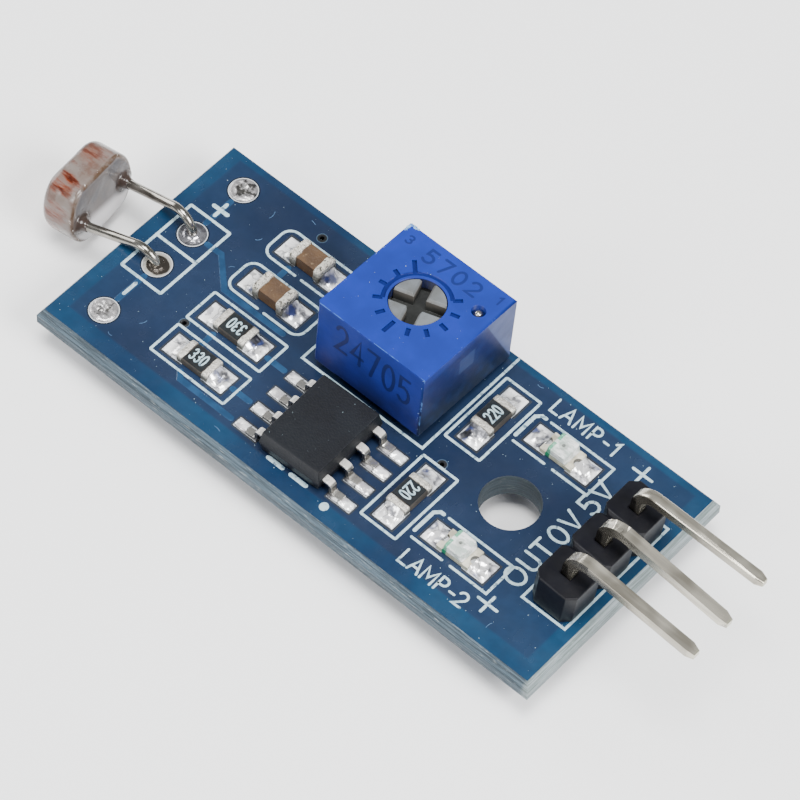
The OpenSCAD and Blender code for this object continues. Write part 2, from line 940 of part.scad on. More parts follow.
module capacitor_block(place) {
    p = cap_plating_t;
    color("#8b6347") on_board() at_turned(place, board_t)
        block([chip_part_l - 2 * p, chip_part_w - 2 * p, capacitor_h - 2 * p], p);
}

module capacitor_ends(place) {
    p = cap_plating_t;
    color("#c9ccce") on_board() at_turned(place, board_t) difference() {
        for (side = [-1, 1]) {
            translate([side * (chip_part_l - end_l) / 2, 0, 0]) block([end_l, chip_part_w, capacitor_h]);
        }
        block([chip_part_l - 2 * p, chip_part_w - 2 * p, capacitor_h - 2 * p], p);
    }
}

module capacitor_1_block() {
    capacitor_block(capacitors[0]);
}

module capacitor_1_ends() {
    capacitor_ends(capacitors[0]);
}

module capacitor_2_block() {
    capacitor_block(capacitors[1]);
}

module capacitor_2_ends() {
    capacitor_ends(capacitors[1]);
}

// Indicator lamps

module lamp_notches(r, z1, z2) {
    for (side = [-1, 1]) {
        translate([side * chip_part_l / 2, 0, 0]) pin_hole(2 * r, z1, z2);
    }
}

module lamp_base(place) {
    p = plating_t;
    color("#dfe5dc") on_board() at_turned(place, board_t) difference() {
        block([chip_part_l, chip_part_w, lamp_base_h - 2 * p], p);
        lamp_notches(lamp_notch_r, 0, lamp_base_h);
    }
}

// Metal on both faces of each end, joined through the half-round notch
module lamp_ends(place) {
    p = plating_t;
    color("#c9ccce") on_board() at_turned(place, board_t) difference() {
        union() {
            for (side = [-1, 1], z = [0, lamp_base_h - p]) {
                translate([side * (chip_part_l - end_l) / 2, 0, 0]) block([end_l, chip_part_w, p], z);
            }
            intersection() {
                block([chip_part_l, chip_part_w, lamp_base_h]);
                lamp_notches(lamp_notch_r, 0, lamp_base_h);
            }
        }
        lamp_notches(lamp_notch_r - p, 0, lamp_base_h);
    }
}

module lamp_lens(place) {
    foot = lens_l / 2;
    top = lens_l / 2 - lens_draft;
    color("#e6efe6") on_board() at_turned(place, board_t) difference() {
        across_y(chip_part_w) polygon([
            [-foot, lamp_base_h],
            [-top, lamp_h],
            [top, lamp_h],
            [foot, lamp_base_h]
        ]);
        block(lamp_die, lamp_base_h);
        block([chip_part_l, chip_part_w + eps, eps], lamp_base_h - eps);
        for (side = [-1, 1]) {
            translate([side * (chip_part_l - end_l) / 2, 0, 0])
                block([end_l, chip_part_w + eps, plating_t], lamp_base_h - plating_t);
        }
    }
}

module lamp_die_block(place) {
    color("#a9a24a") on_board() at_turned(place, board_t) block(lamp_die, lamp_base_h);
}

module lamp_1_base() {
    lamp_base(lamps[0]);
}

module lamp_1_lens() {
    lamp_lens(lamps[0]);
}

module lamp_1_die() {
    lamp_die_block(lamps[0]);
}

module lamp_1_ends() {
    lamp_ends(lamps[0]);
}

module lamp_2_base() {
    lamp_base(lamps[1]);
}

module lamp_2_lens() {
    lamp_lens(lamps[1]);
}

module lamp_2_die() {
    lamp_die_block(lamps[1]);
}

module lamp_2_ends() {
    lamp_ends(lamps[1]);
}

// Header

// The strip and its pins lean out together about the middle of the board's thickness
module leaning() {
    on_board()
        translate([pin_x, 0, lean_z])
        rotate([0, header_lean, 0])
        translate([0, 0, -lean_z])
        children();
}

module segment_outline() {
    a = header_w / 2;
    b = pin_pitch / 2;
    c = header_cut;
    polygon([
        [-a, -b + c], [-a, b - c], [-a + c, b], [a - c, b],
        [a, b - c], [a, -b + c], [a - c, -b], [-a + c, -b]
    ]);
}

// The shallow groove across the strip where two segments break apart
module break_groove() {
    w = groove_w / 2;
    translate([0, 0, strip_bottom + header_h])
        along_x(header_w + 2 * eps)
        polygon([[-w - eps, eps], [-w, 0], [0, -groove_depth], [w, 0], [w + eps, eps]]);
}

module header_block() {
    color("#26262b") leaning() difference() {
        for (hole = header_holes) {
            translate([0, hole[1], strip_bottom]) linear_extrude(height = header_h) segment_outline();
        }
        for (i = [1:pin_count - 1]) {
            translate([0, header_holes[i][1] - pin_pitch / 2, 0]) break_groove();
        }
        for (hole = header_holes) {
            translate([0, hole[1], 0]) block([pin_w, pin_w, header_h + 2 * eps], strip_bottom - eps);
        }
    }
}

// A square bar along Z with four slopes to its tip
module pointed_bar(length) {
    h = pin_w / 2;
    t = tip_w / 2;
    outline = [[-h, 0], [-h, length - tip_l], [-t, length], [t, length], [h, length - tip_l], [h, 0]];
    intersection() {
        across_y(pin_w) polygon(outline);
        along_x(pin_w) polygon(outline);
    }
}

// One pin: up through the board and the strip, over its bend and out to its tip
module bent_pin(i) {
    droop = pin_droops[i] - header_lean;
    centre_z = board_t + pin_rise - pin_drops[i] - pin_bend_r;
    translate([0, header_holes[i][1], 0]) {
        block([pin_w, pin_w, centre_z + tail], -tail);
        translate([pin_bend_r, 0, centre_z]) {
            rotate([90, 0, 0])
                rotate([0, 0, 90 - droop])
                rotate_extrude(angle = 90 + droop)
                translate([pin_bend_r - pin_w / 2, -pin_w / 2])
                square(pin_w);
            rotate([0, droop, 0])
                translate([0, 0, pin_bend_r])
                rotate([0, 90, 0])
                rotate([pin_turns[i], 0, 0])
                pointed_bar(pin_reach - pin_bend_r);
        }
    }
}

module header_pin_1() {
    color("#b7b2a7") leaning() bent_pin(0);
}

module header_pin_2() {
    color("#b7b2a7") leaning() bent_pin(1);
}

module header_pin_3() {
    if (pin_count > 2) color("#b7b2a7") leaning() bent_pin(2);
}

// Solder

// Half section of a soldered wire: fill in the sleeve, a hollow cone underneath and, with top_h, above
module joint_section(drill, land, wire_r, top_h, bottom_h) {
    bore = drill / 2 - sleeve_t;
    pad = land / 2 - 0.05;
    square([bore, board_t]);
    polygon(concat([[0, 0]], cone_points(pad, wire_r, -bottom_h, 0)));
    if (top_h > 0) {
        polygon(concat([[0, board_t]], cone_points(pad, wire_r, top_h, board_t)));
    }
}

// Points of a hollow cone from the land's rim to the wire, height h from the face at z
function cone_points(pad, wire_r, h, z) =
    concat(
        [for (i = [0:5]) [pad - (pad - wire_r) * sin(90 * i / 5), z + h * (1 - cos(90 * i / 5))]],
        [[0, z + h]]
    );

module round_joint(drill, land, wire_r, top_h, bottom_h) {
    rotate_extrude() joint_section(drill, land, wire_r, top_h, bottom_h);
}

module solder_sensor() {
    r = sensor_wire_d / 2 + 0.08;
    color("#cfd0d0") on_board() difference() {
        union() {
            at(sensor_near) round_joint(lead_drill, lead_land, r, 0.12, 0.9);
            at(sensor_far) round_joint(lead_drill, lead_land, r, 0.2, 0.9);
        }
        near_wire();
        far_wire();
    }
}

module solder_trimmer() {
    color("#cfd0d0") difference() {
        on_board() {
            for (hole = trimmer_holes) {
                at(hole) round_joint(trimmer_drill, trimmer_land, trimmer_wire_d / 2 + 0.2, 0, 0.9);
            }
        }
        in_trimmer() {
            for (p = trimmer_pins) at(p) pin_hole(trimmer_wire_d, -tail, board_t);
        }
    }
}

module solder_header() {
    color("#cfd0d0") difference() {
        on_board() {
            for (hole = header_holes) at(hole) round_joint(pin_drill, pin_land, pin_w * 0.72, 0, 0.9);
        }
        leaning() {
            for (hole = header_holes) {
                translate([0, hole[1], 0]) block([pin_w, pin_w, board_t + 2 * tail], -1.5 * tail);
            }
        }
    }
}

// Bare holes filled with solder, dished on both faces
module filled_pad() {
    pad = lead_land / 2 - 0.05;
    rim = 0.1;
    dish = 0.05;
    rotate_extrude() polygon([
        [0, -dish], [pad * 0.6, -rim], [pad * 0.85, -rim], [pad, 0],
        [pad_drill / 2 - sleeve_t, 0], [pad_drill / 2 - sleeve_t, board_t],
        [pad, board_t], [pad * 0.85, board_t + rim], [pad * 0.6, board_t + rim], [0, board_t + dish]
    ]);
}

module solder_round_pads() {
    color("#cfd0d0") on_board() {
        for (p = round_pads) at(p) filled_pad();
    }
}

// A slope of solder from the top of a lead's foot to the end of its pad
module solder_chip() {
    toe = chip_span / 2;
    pad_end = chip_pad_x + chip_pad[0] / 2;
    heel = chip_pad_x - chip_pad[0] / 2;
    w = chip_pad[1] - 0.06;
    t = chip_lead_t;
    color("#cfd0d0") on_board() at(chip_at) difference() {
        for (turn = [0, 180], row = [0:chip_rows - 1]) {
            rotate([0, 0, turn])
                translate([0, (row - (chip_rows - 1) / 2) * chip_pitch, 0])
                across_y(w)
                polygon([
                    [heel, board_t], [heel, board_t + 0.03], [toe - lead_foot_l, board_t + t * 0.6],
                    [toe, board_t + t * 0.9], [toe + 0.3, board_t + 0.1], [pad_end - 0.05, board_t + 0.03],
                    [pad_end - 0.02, board_t]
                ]);
        }
        rotate([0, 0, chip_turn]) chip_lead_set();
    }
}

// Solder climbing one end of a chip part, hollow from the end face to the rim of its pad
module end_slope(part_h) {
    root = chip_part_l / 2;
    out = part_pad_out - 0.05 - root;
    steps = 5;
    low = board_t + 0.02;
    rise = part_h - 0.02;
    across_y(chip_part_w - 0.1) polygon(concat(
        [[root, board_t]],
        [[root + out, board_t]],
        [for (i = [0:steps]) let (a = 90 * i / steps) [root + out * (1 - sin(a)), low + rise * (1 - cos(a))]]
    ));
}

module part_slopes(places, part_h) {
    for (place = places, turn = [0, 180]) {
        at_turned(place) rotate([0, 0, turn]) end_slope(part_h);
    }
}

module solder_chip_parts() {
    color("#cfd0d0") on_board() {
        part_slopes(resistors, resistor_h * 0.9);
        part_slopes(capacitors, capacitor_h * 0.65);
        part_slopes(lamps, lamp_base_h * 0.9);
    }
}

board_core();
mask_top();
mask_bottom();
surface_pads();
plated_holes();
sensor_disc();
sensor_electrodes();
sensor_track();
sensor_coat();
sensor_lead_near();
sensor_lead_far();
trimmer_housing();
trimmer_rotor();
trimmer_wiper();
trimmer_seal_ring();
trimmer_substrate();
trimmer_element();
trimmer_resin();
trimmer_pin_1();
trimmer_pin_2();
trimmer_pin_3();
chip_body();
chip_leads();
chip_paddle();
chip_die();
resistor_1_ceramic();
resistor_1_film();
resistor_1_ends();
resistor_2_ceramic();
resistor_2_film();
resistor_2_ends();
resistor_3_ceramic();
resistor_3_film();
resistor_3_ends();
resistor_4_ceramic();
resistor_4_film();
resistor_4_ends();
capacitor_1_block();
capacitor_1_ends();
capacitor_2_block();
capacitor_2_ends();
lamp_1_base();
lamp_1_lens();
lamp_1_die();
lamp_1_ends();
lamp_2_base();
lamp_2_lens();
lamp_2_die();
lamp_2_ends();
header_block();
header_pin_1();
header_pin_2();
header_pin_3();
solder_sensor();
solder_trimmer();
solder_header();
solder_round_pads();
solder_chip();
solder_chip_parts();
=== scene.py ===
"""Looks of the light sensor module. Sizes are millimetres from the board's middle, or as a name says."""
import json
import math
from functools import reduce

import bpy
import numpy as np
from mathutils import Matrix, Vector


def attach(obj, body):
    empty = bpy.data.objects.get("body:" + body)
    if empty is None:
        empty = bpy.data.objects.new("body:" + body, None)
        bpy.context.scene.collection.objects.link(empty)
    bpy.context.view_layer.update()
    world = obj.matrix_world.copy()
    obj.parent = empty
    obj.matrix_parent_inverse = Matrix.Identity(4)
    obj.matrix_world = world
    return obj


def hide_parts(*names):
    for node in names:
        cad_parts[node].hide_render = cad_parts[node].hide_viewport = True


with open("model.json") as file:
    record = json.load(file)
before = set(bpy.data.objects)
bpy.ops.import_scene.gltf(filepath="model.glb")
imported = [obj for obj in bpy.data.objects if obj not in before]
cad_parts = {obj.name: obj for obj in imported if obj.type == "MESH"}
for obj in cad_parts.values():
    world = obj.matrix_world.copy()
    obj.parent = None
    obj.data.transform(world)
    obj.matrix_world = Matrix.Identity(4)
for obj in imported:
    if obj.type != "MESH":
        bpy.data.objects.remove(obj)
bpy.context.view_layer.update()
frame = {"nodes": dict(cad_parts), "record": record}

MM = 0.001
HOLE = np.array([8.8, 0.12, 0.0])     # the mounting hole, where the row's frame has its origin
BOARD_T = 1.6
FLOOR_Z = -1.43
SEED = 2824

# Places on the board
LANDS_X = -13.77
ROUND_PADS = ((LANDS_X, 5.3), (LANDS_X, -5.03))
SENSOR_NEAR, SENSOR_FAR = (LANDS_X, -1.14), (LANDS_X, 1.48)
VIAS = ((-8.77, 5.79), (-10.27, -2.86), (4.85, -0.46))
LAMPS = ((8.84, 4.03), (8.84, -3.7))
CHIP_PLACE = (-0.448, -3.52)
CHIP_PITCH = 1.27

# The photoresistor: its middle and its directions in the row's frame, and where its wires leave it
DISC_MID = np.array([-18.8, 0.10, 1.3]) - HOLE
TURN, TIP = math.radians(5.5), math.radians(4.5)
DISC_OUT = np.array([math.cos(TURN) * math.cos(TIP), math.sin(TURN) * math.cos(TIP), math.sin(TIP)])
DISC_ACROSS = np.array([-math.sin(TURN), math.cos(TURN), 0.0])
DISC_UP = np.cross(DISC_OUT, DISC_ACROSS)
WIRE_ACROSS, WIRE_DOWN = 1.73, 0.19

# The trimmer leans back over its two far feet, which stand on the board along this line
LEAN = math.radians(3.0)
FEET = np.array([-0.308, 6.28, BOARD_T])
FEET_Y = 3.25                          # from the case's middle to that line
CASE_UP = (0.0, math.sin(LEAN), math.cos(LEAN))
CASE_BACK = (0.0, math.cos(LEAN), -math.sin(LEAN))
CASE_TOP = 6.48
CASE_HALF = 3.44

# Each header pin's middle at its bend, from the hole, and how far it moves to -Y for each millimetre of +X
PINS = ((-2.36, 0.0175), (0.18, 0.028), (2.72, 0.0035))

# Brushed red patches on the rim: place along the disc's thickness, then across and up it, width and strength
RED_PATCHES = (
    (-1.25, (0.95, 1.98), 0.95, 0.55), (-0.45, (1.35, 1.93), 0.5, 0.35), (-1.15, (-1.35, 1.93), 0.85, 1.0),
    (-1.7, (-1.9, 1.6), 0.6, 0.6), (-1.35, (-2.47, 0.55), 0.95, 0.85), (-1.5, (-2.42, -0.7), 0.8, 0.9),
    (-1.9, (-0.2, 2.0), 0.4, 0.3), (-1.2, (0.6, -2.0), 0.9, 0.6), (-1.4, (2.3, -0.9), 0.9, 0.5),
)

# Blue-black reflections in the solder of the chip parts: place, radius and strength
SOLDER_SHADES = (
    ((-6.6, 4.1), 0.36, 0.85), ((-6.7, 1.25), 0.36, 0.95), ((-6.7, -1.35), 0.38, 0.9),
    ((-6.6, -4.1), 0.36, 0.8), ((4.5, 1.7), 0.42, 0.95), ((4.6, -1.45), 0.32, 0.6),
    ((6.85, 4.1), 0.36, 0.9), ((6.9, -3.5), 0.3, 0.5), ((10.5, 4.6), 0.24, 0.7),
    ((10.45, -4.25), 0.25, 0.6), ((-9.2, 3.7), 0.2, 0.6), ((-9.2, 0.9), 0.2, 0.6),
)

# Chip parts: place, turn, how high the solder climbs and how crumpled it is at either end
CHIP_PARTS = (
    ((-8.0, -1.5), 0, 0.42, 0.8, 0.1), ((-8.0, -4.15), 0, 0.42, 0.9, 0.15), ((4.92, 3.3), 90, 0.42, 0.5, 0.8),
    ((4.92, -3.0), 90, 0.42, 0.6, 0.8), ((-7.95, 4.15), 0, 0.5, 0.5, 0.1), ((-7.95, 1.35), 0, 0.5, 0.6, 0.1),
    (LAMPS[0], 0, 0.22, 1.2, 0.9), (LAMPS[1], 0, 0.22, 1.2, 0.9),
)

# Shader kit


def paint(text):
    """An sRGB colour such as "#2f6596" as linear RGBA."""
    parts = [int(text[i:i + 2], 16) / 255 for i in (1, 3, 5)]
    return tuple(c / 12.92 if c <= 0.04045 else ((c + 0.055) / 1.055) ** 2.4 for c in parts) + (1.0,)


def operator(operation, swapped=False):
    """A method that adds a Math node for two numbers."""
    def method(self, other=0.0):
        first, second = (other, self) if swapped else (self, other)
        return self.shade.node("ShaderNodeMath", {"operation": operation}, {0: first, 1: second})
    return method


class Value:
    """A number, vector or colour that varies over a surface. Operators add Math nodes to its material."""

    def __init__(self, shade, socket):
        self.shade = shade
        self.socket = socket

    __add__ = operator("ADD")
    __sub__ = operator("SUBTRACT")
    __rsub__ = operator("SUBTRACT", swapped=True)
    __mul__ = operator("MULTIPLY")
    __pow__ = operator("POWER")
    __abs__ = operator("ABSOLUTE")
    least = operator("MINIMUM")
    most = operator("MAXIMUM")

    def __neg__(self):
        return self * -1.0

    def ramp(self, low, high):
        """0 below low, 1 above high, smooth between. With low above high it falls instead."""
        limits = {"Value": self, "From Min": low, "From Max": high}
        return self.shade.node("ShaderNodeMapRange", {"interpolation_type": "SMOOTHSTEP"}, limits)


class Shade:
    """One procedural material. Its patterns read Object coordinates, as millimetres from the hole."""

    def __init__(self, name):
        self.material = bpy.data.materials.new(name)
        self.material.use_nodes = True
        self.tree = self.material.node_tree
        self.tree.nodes.clear()
        place = self.node("ShaderNodeTexCoord", out="Object")
        self.at = self.node("ShaderNodeVectorMath", {"operation": "SCALE"}, {0: place, "Scale": 1 / MM})
        parts = self.tree.nodes.new("ShaderNodeSeparateXYZ")
        self.tree.links.new(self.at.socket, parts.inputs[0])
        self.x, self.y, self.z = (Value(self, parts.outputs[i]) for i in range(3))

    def node(self, kind, settings=None, values=None, out=0):
        """Adds any node: its settings first, then its sockets' values, "#2f6596" colours or links."""
        new = self.tree.nodes.new(kind)
        for key, value in (settings or {}).items():
            setattr(new, key, value)
        for key, value in (values or {}).items():
            if isinstance(value, Value):
                self.tree.links.new(value.socket, new.inputs[key])
            else:
                new.inputs[key].default_value = paint(value) if isinstance(value, str) else value
        return Value(self, new.outputs[out]) if len(new.outputs) else None

    def noise(self, scale, detail=3.0, rough=0.5, stretch=None, shift=0.0):
        """Fractal noise, about 0.3 to 0.7, scale in waves per millimetre. stretch slows it along an axis."""
        where = self.at
        if stretch is not None or shift:
            place = {"Vector": where, "Scale": stretch or (1, 1, 1), "Location": (shift,) * 3}
            where = self.node("ShaderNodeMapping", {}, place)
        values = {"Vector": where, "Scale": scale, "Detail": detail, "Roughness": rough}
        return self.node("ShaderNodeTexNoise", {}, values)

    def along(self, direction, centre):
        """Distance along a direction from a centre, both in the row's frame."""
        ends = {0: self.at, 1: tuple(map(float, centre))}
        moved = self.node("ShaderNodeVectorMath", {"operation": "SUBTRACT"}, ends)
        ends = {0: moved, 1: tuple(map(float, direction))}
        return self.node("ShaderNodeVectorMath", {"operation": "DOT_PRODUCT"}, ends, out="Value")

    def from_line(self, *places):
        """Distance from the nearest of some upright lines through places on the board."""
        lines = []
        for place in places:
            dx = self.x - float(place[0] - HOLE[0])
            dy = self.y - float(place[1] - HOLE[1])
            lines.append((dx * dx + dy * dy) ** 0.5)
        return reduce(Value.least, lines)

    def mix(self, colour, *layers):
        """A colour with others laid over it in turn, each given as its share and the colour."""
        for share, over in layers:
            ends = {"Factor": share, 6: colour, 7: over}
            colour = self.node("ShaderNodeMix", {"data_type": "RGBA"}, ends, out=2)
        return colour

    def finish(self, colour, roughness, height=None, depth_mm=0.0, **sockets):
        """The surface, raised by height times depth. Other keys are the shader's sockets, _ for a space."""
        values = {key.replace("_", " "): value for key, value in sockets.items()}
        values.update({"Base Color": colour, "Roughness": roughness})
        if height is not None:
            relief = {"Height": height, "Strength": 1.0, "Distance": depth_mm * MM}
            values["Normal"] = self.node("ShaderNodeBump", {}, relief)
        shader = self.node("ShaderNodeBsdfPrincipled", {}, values)
        self.node("ShaderNodeOutputMaterial", {}, {"Surface": shader})
        return self.material


# Materials


def solder_mask():
    """Glossy blue film: greyer over the poured copper, brighter in the bare margins, with painted shade
    round the lands.
    """
    s = Shade("solder_mask")
    x, y = s.x + HOLE[0], s.y + HOLE[1]
    poured = (15.2 - abs(x)).least(y + 6.05).least(6.6 - y).ramp(-0.09, 0.09)
    cloud = s.noise(0.14).ramp(0.36, 0.64)
    ends = abs(x + 1.0).ramp(10.5, 16.0)
    land = s.from_line(ROUND_PADS[0], SENSOR_FAR, SENSOR_NEAR, ROUND_PADS[1])
    colour = s.mix(
        "#0e2742",
        (cloud, "#153651"),
        (poured, s.mix("#162238", (cloud, "#1b2a42"), (ends * 0.5, "#122e4a"))),
        (s.noise(2.2, 2.0).ramp(0.3, 0.7) * 0.18, "#0b1a2c"),
        # Painted shade: a dark ring on the mask round each land
        (land.ramp(0.9, 0.84) * 0.75, "#0a0f14"),
    )
    ripple = s.noise(0.8)
    return s.finish(colour, ripple.ramp(0.3, 0.7) * 0.08 + 0.2, ripple, 0.02)


def mask_over_track():
    """The film over a track, brighter than over the pour."""
    s = Shade("mask_over_track")
    ripple = s.noise(1.4)
    return s.finish(s.mix("#17334f", (ripple.ramp(0.35, 0.65), "#1f3f5e")), 0.24, ripple, 0.012)


def glass_epoxy():
    """Snapped sheet: grey glass cloth with pale fibres. Painted light makes the +X end paler and painted
    shade darkens the bore.
    """
    s = Shade("glass_epoxy")
    layers = s.noise(1.6, 6.0, 0.65, stretch=(0.2, 0.2, 9.0))
    fibres = s.noise(5.0, 4.0, 0.65, stretch=(0.25, 0.25, 3.0), shift=3.0)
    colour = s.mix(
        "#26343d",
        (layers.ramp(0.42, 0.58), "#4c5f6c"),
        # Painted light: the +X end, which faces the side lamp, is paler
        (s.x.ramp(7.0, 7.3), s.mix("#62706f", (layers.ramp(0.4, 0.6), "#8d979b"))),
        (fibres.ramp(0.57, 0.75), "#9fa9ab"),
        # Painted shade in the bore of the mounting hole
        (s.from_line(HOLE).ramp(1.75, 1.65) * 0.6, "#2a353b"),
    )
    return s.finish(colour, 0.7, layers * 0.6 + fibres * 0.8, 0.16)


def legend_ink():
    """White print: matt, thin in places, with tiny nicks where the mask shows through."""
    s = Shade("legend_ink")
    wear = s.noise(3.0, 4.0, 0.6).ramp(0.34, 0.52)
    nicks = s.noise(4.0, 2.0, shift=8.0).ramp(0.64, 0.68)
    colour = s.mix("#7f9aa6", (wear, "#a4bac1"), (nicks * 0.7, "#14304c"))
    return s.finish(colour, 0.55, s.noise(9.0), 0.01)


def pad_tin():
    """Tinned rings and pads. The vias' small rings lie under the mask: dim blue-grey, round a black mouth."""
    s = Shade("pad_tin")
    away = s.from_line(*VIAS)
    covered = away.ramp(0.5, 0.4)
    patches = s.noise(1.4).ramp(0.4, 0.62)
    colour = s.mix("#e2e4e6", (patches, "#c3c6c9"), (covered, "#33475a"), (away.ramp(0.27, 0.24), "#0b0d10"))
    return s.finish(colour, patches * 0.15 + 0.38, s.noise(2.6), 0.03, Metallic=0.55 - covered * 0.5)


def case_height(s):
    """Height in the trimmer case's own millimetres."""
    return s.along(CASE_UP, FEET - HOLE) + BOARD_T


def trimmer_blue():
    """Translucent blue moulding: bright on its roof, darker low on its sides, scuffed pale along its front
    edges. Painted shade darkens the grooves below its roof and makes the head's hole nearly black. The +X
    face is navy painted shade, with a dim window in its middle and a pale corner of painted reflection."""
    s = Shade("trimmer_blue")
    x = s.x - (FEET[0] - HOLE[0])
    y = s.along(CASE_BACK, FEET - HOLE) + FEET_Y
    z = case_height(s)
    right, under_roof = x.ramp(3.3, 3.45), z.ramp(6.46, 6.38)
    cloud = s.noise(0.6, shift=4.0).ramp(0.35, 0.65)
    # Mottles the painted shade of the +X face
    shade_mottle = s.noise(1.2, shift=9.0).ramp(0.45, 0.7)
    window = abs(y + 0.15).ramp(0.62, 0.5) * abs(z - 4.95).ramp(0.62, 0.5)
    # Painted reflection: a pale sheen on a corner of the glossy +X face, clouded by a slow noise
    pale = (y - 1.19 - (CASE_TOP - z) * 0.515).ramp(-0.05, 0.06) * under_roof
    stain_and_sheen = s.noise(0.9, shift=6.0).ramp(0.35, 0.65)
    # Painted shade: darker in the grooves below the roof and nearly black inside the head's hole
    sunk = abs(x).most(abs(y)).ramp(3.38, 3.3) * under_roof
    hole = ((x * x + y * y) ** 0.5).ramp(1.53, 1.49) * z.ramp(6.44, 6.34)
    edge = (-y).ramp(3.38, CASE_HALF) * z.ramp(6.4, 6.46).most(abs(x).ramp(3.38, CASE_HALF))
    worn = (edge + s.noise(1.3, 4.0, 0.65, shift=21.0)).ramp(1.48, 1.58)
    colour = s.mix(
        s.mix("#1a225e", (cloud, "#181d4c")),
        (z.ramp(2.2, 4.6), s.mix("#1c2b76", (cloud, "#1a286c"))),
        (z.ramp(6.3, 6.44), s.mix("#1c2d79", (cloud, "#1e3084"))),
        # Painted shade: the +X face below the roof in navy, lighter towards its top
        (right * (z - y * 0.12).ramp(6.6, 5.9),
         s.mix("#061029", (z.ramp(2.2, 5.8), "#06164c"), (shade_mottle * 0.15, "#1b3a78"))),
        (right * window * 0.3, "#3c517c"),
        # Painted reflection on the pale corner
        (right * pale * (stain_and_sheen * 0.35 + 0.6), "#3c4a76"),
        # Painted shade in the grooves and in the head's hole
        (sunk * 0.75, "#0a1750"),
        (hole, "#070b1c"),
        (worn * 0.55, "#5d8bd0"),
    )
    skin = s.noise(5.0, 4.0, 0.6) * 0.3 + s.noise(1.2, 2.0)
    return s.finish(colour, 0.4, skin, 0.012, Specular_IOR_Level=0.14)


def rotor_plastic():
    """Grey moulding; painted shade makes the walls of its slots browner and dark at their bottom."""
    s = Shade("rotor_plastic")
    z = case_height(s)
    cloud = s.noise(0.8, shift=4.0).ramp(0.36, 0.64)
    # Painted shade: the slots' walls browner, darkest at their bottom
    wall = s.mix("#262726", (z.ramp(5.7, 6.3), "#524e49"))
    colour = s.mix("#62666a", (cloud, "#555757"), (z.ramp(6.4, 6.2), wall))
    return s.finish(colour, 0.38, s.noise(3.0), 0.03, Specular_IOR_Level=0.35)


def cut_digit():
    """Painted shade in a sunk digit of the blue moulding, deeper on the sides than on the roof."""
    s = Shade("cut_digit")
    colour = s.mix("#0b1648", (case_height(s).ramp(6.3, 6.4), "#0f205c"))
    return s.finish(colour, 0.5, Specular_IOR_Level=0.2)


def moulding_flash():
    """Thin torn flash, paler than the moulding."""
    s = Shade("moulding_flash")
    return s.finish(s.mix("#4a74ae", (s.noise(6.0).ramp(0.4, 0.6), "#86acc8")), 0.4)


def sensor_resin():
    """Milky resin over the disc: red-brown streaks are brushed across the rim, a fine brown line with pale
    beads rings the back and each wire has a brown foot. The front is clear and shows the winding line."""
    s = Shade("sensor_resin")
    out, across, up = (s.along(direction, DISC_MID) for direction in (DISC_OUT, DISC_ACROSS, DISC_UP))
    radius = (across * across + up * up) ** 0.5
    rim = radius.ramp(2.2, 2.4).most(abs(up).ramp(1.86, 1.93))
    streaks = s.noise(3.4, 5.0, 0.68, stretch=(0.16, 1.0, 1.0))
    ragged = s.noise(2.4, 4.0, 0.6, stretch=(0.5, 1.0, 1.0), shift=8.0)
    patches = []
    for start, middle, width, strength in RED_PATCHES:
        d = ((across - middle[0]) ** 2.0 + (up - middle[1]) ** 2.0 + (out - start) ** 2.0 * 0.7) ** 0.5
        patches.append((d + ragged * 1.5 - 0.75).ramp(width, width * 0.2) * strength)
    brushed = reduce(Value.most, patches) * rim
    feet = []
    for side in (-1, 1):
        da, du = across - side * WIRE_ACROSS, up + WIRE_DOWN
        feet.append((da * da + du * du) ** 0.5)
    foot = reduce(Value.least, feet).ramp(0.95, 0.5) * out.ramp(-0.12, 0.0)
    cloud = s.noise(0.9).ramp(0.35, 0.65)
    # Painted reflection: the faces lighter low down, where they mirror the pale table
    low = (up + across * 0.12).ramp(-0.2, -1.0) * (1.0 - rim)
    stain_and_sheen = rim * s.noise(1.3, 4.0, 0.65, shift=2.0).ramp(0.48, 0.66)
    shoulder = rim * (out + s.noise(1.1, shift=12.0) * 0.5).ramp(-1.35, -1.8)
    edge = abs(abs(up) - 1.9).least(abs(radius - 2.43))
    seam = edge.ramp(0.1, 0.03) * out.ramp(-0.3, -0.2) * out.ramp(0.01, -0.03)
    broken = s.noise(1.6, 4.0, 0.6, shift=3.0).ramp(0.42, 0.56) * 0.45 + 0.4
    beads = s.noise(3.0, 2.0, shift=5.0).ramp(0.64, 0.68)
    colour = s.mix(
        s.mix("#66605e", (cloud, "#5c5a5c")),
        (rim, s.mix("#675b54", (cloud, "#716a66"))),
        # Painted reflection low on the faces
        (low, "#c6c3c4"),
        ((brushed * (streaks.ramp(0.36, 0.6) * 0.9 + 0.25)).least(1.0), "#6e3016"),
        (brushed * streaks.ramp(0.5, 0.62) * 0.95, "#35110a"),
        (stain_and_sheen * 0.55, "#553a31"),
        (shoulder * 0.6, "#3c3331"),
        (seam * broken, "#43301f"),
        (seam * beads, "#d8d2cc"),
        (foot * 0.88, "#2a1d15"),
    )
    return s.finish(
        colour, 0.14, s.noise(0.8) * 0.5 + streaks * 0.1 * rim, 0.1,
        Alpha=1.0 - out.ramp(-1.95, -2.06) * 0.72,
        Subsurface_Weight=0.1,
        Subsurface_Radius=(1.0, 0.6, 0.5),
        Subsurface_Scale=0.0004,
        Specular_IOR_Level=0.4,
    )


def in_lamp(s):
    """Along the lamps from their middle, and across the nearer one to either side."""
    across = [abs(s.y - (y - HOLE[1])) for _, y in LAMPS]
    return s.x - (LAMPS[0][0] - HOLE[0]), reduce(Value.least, across)


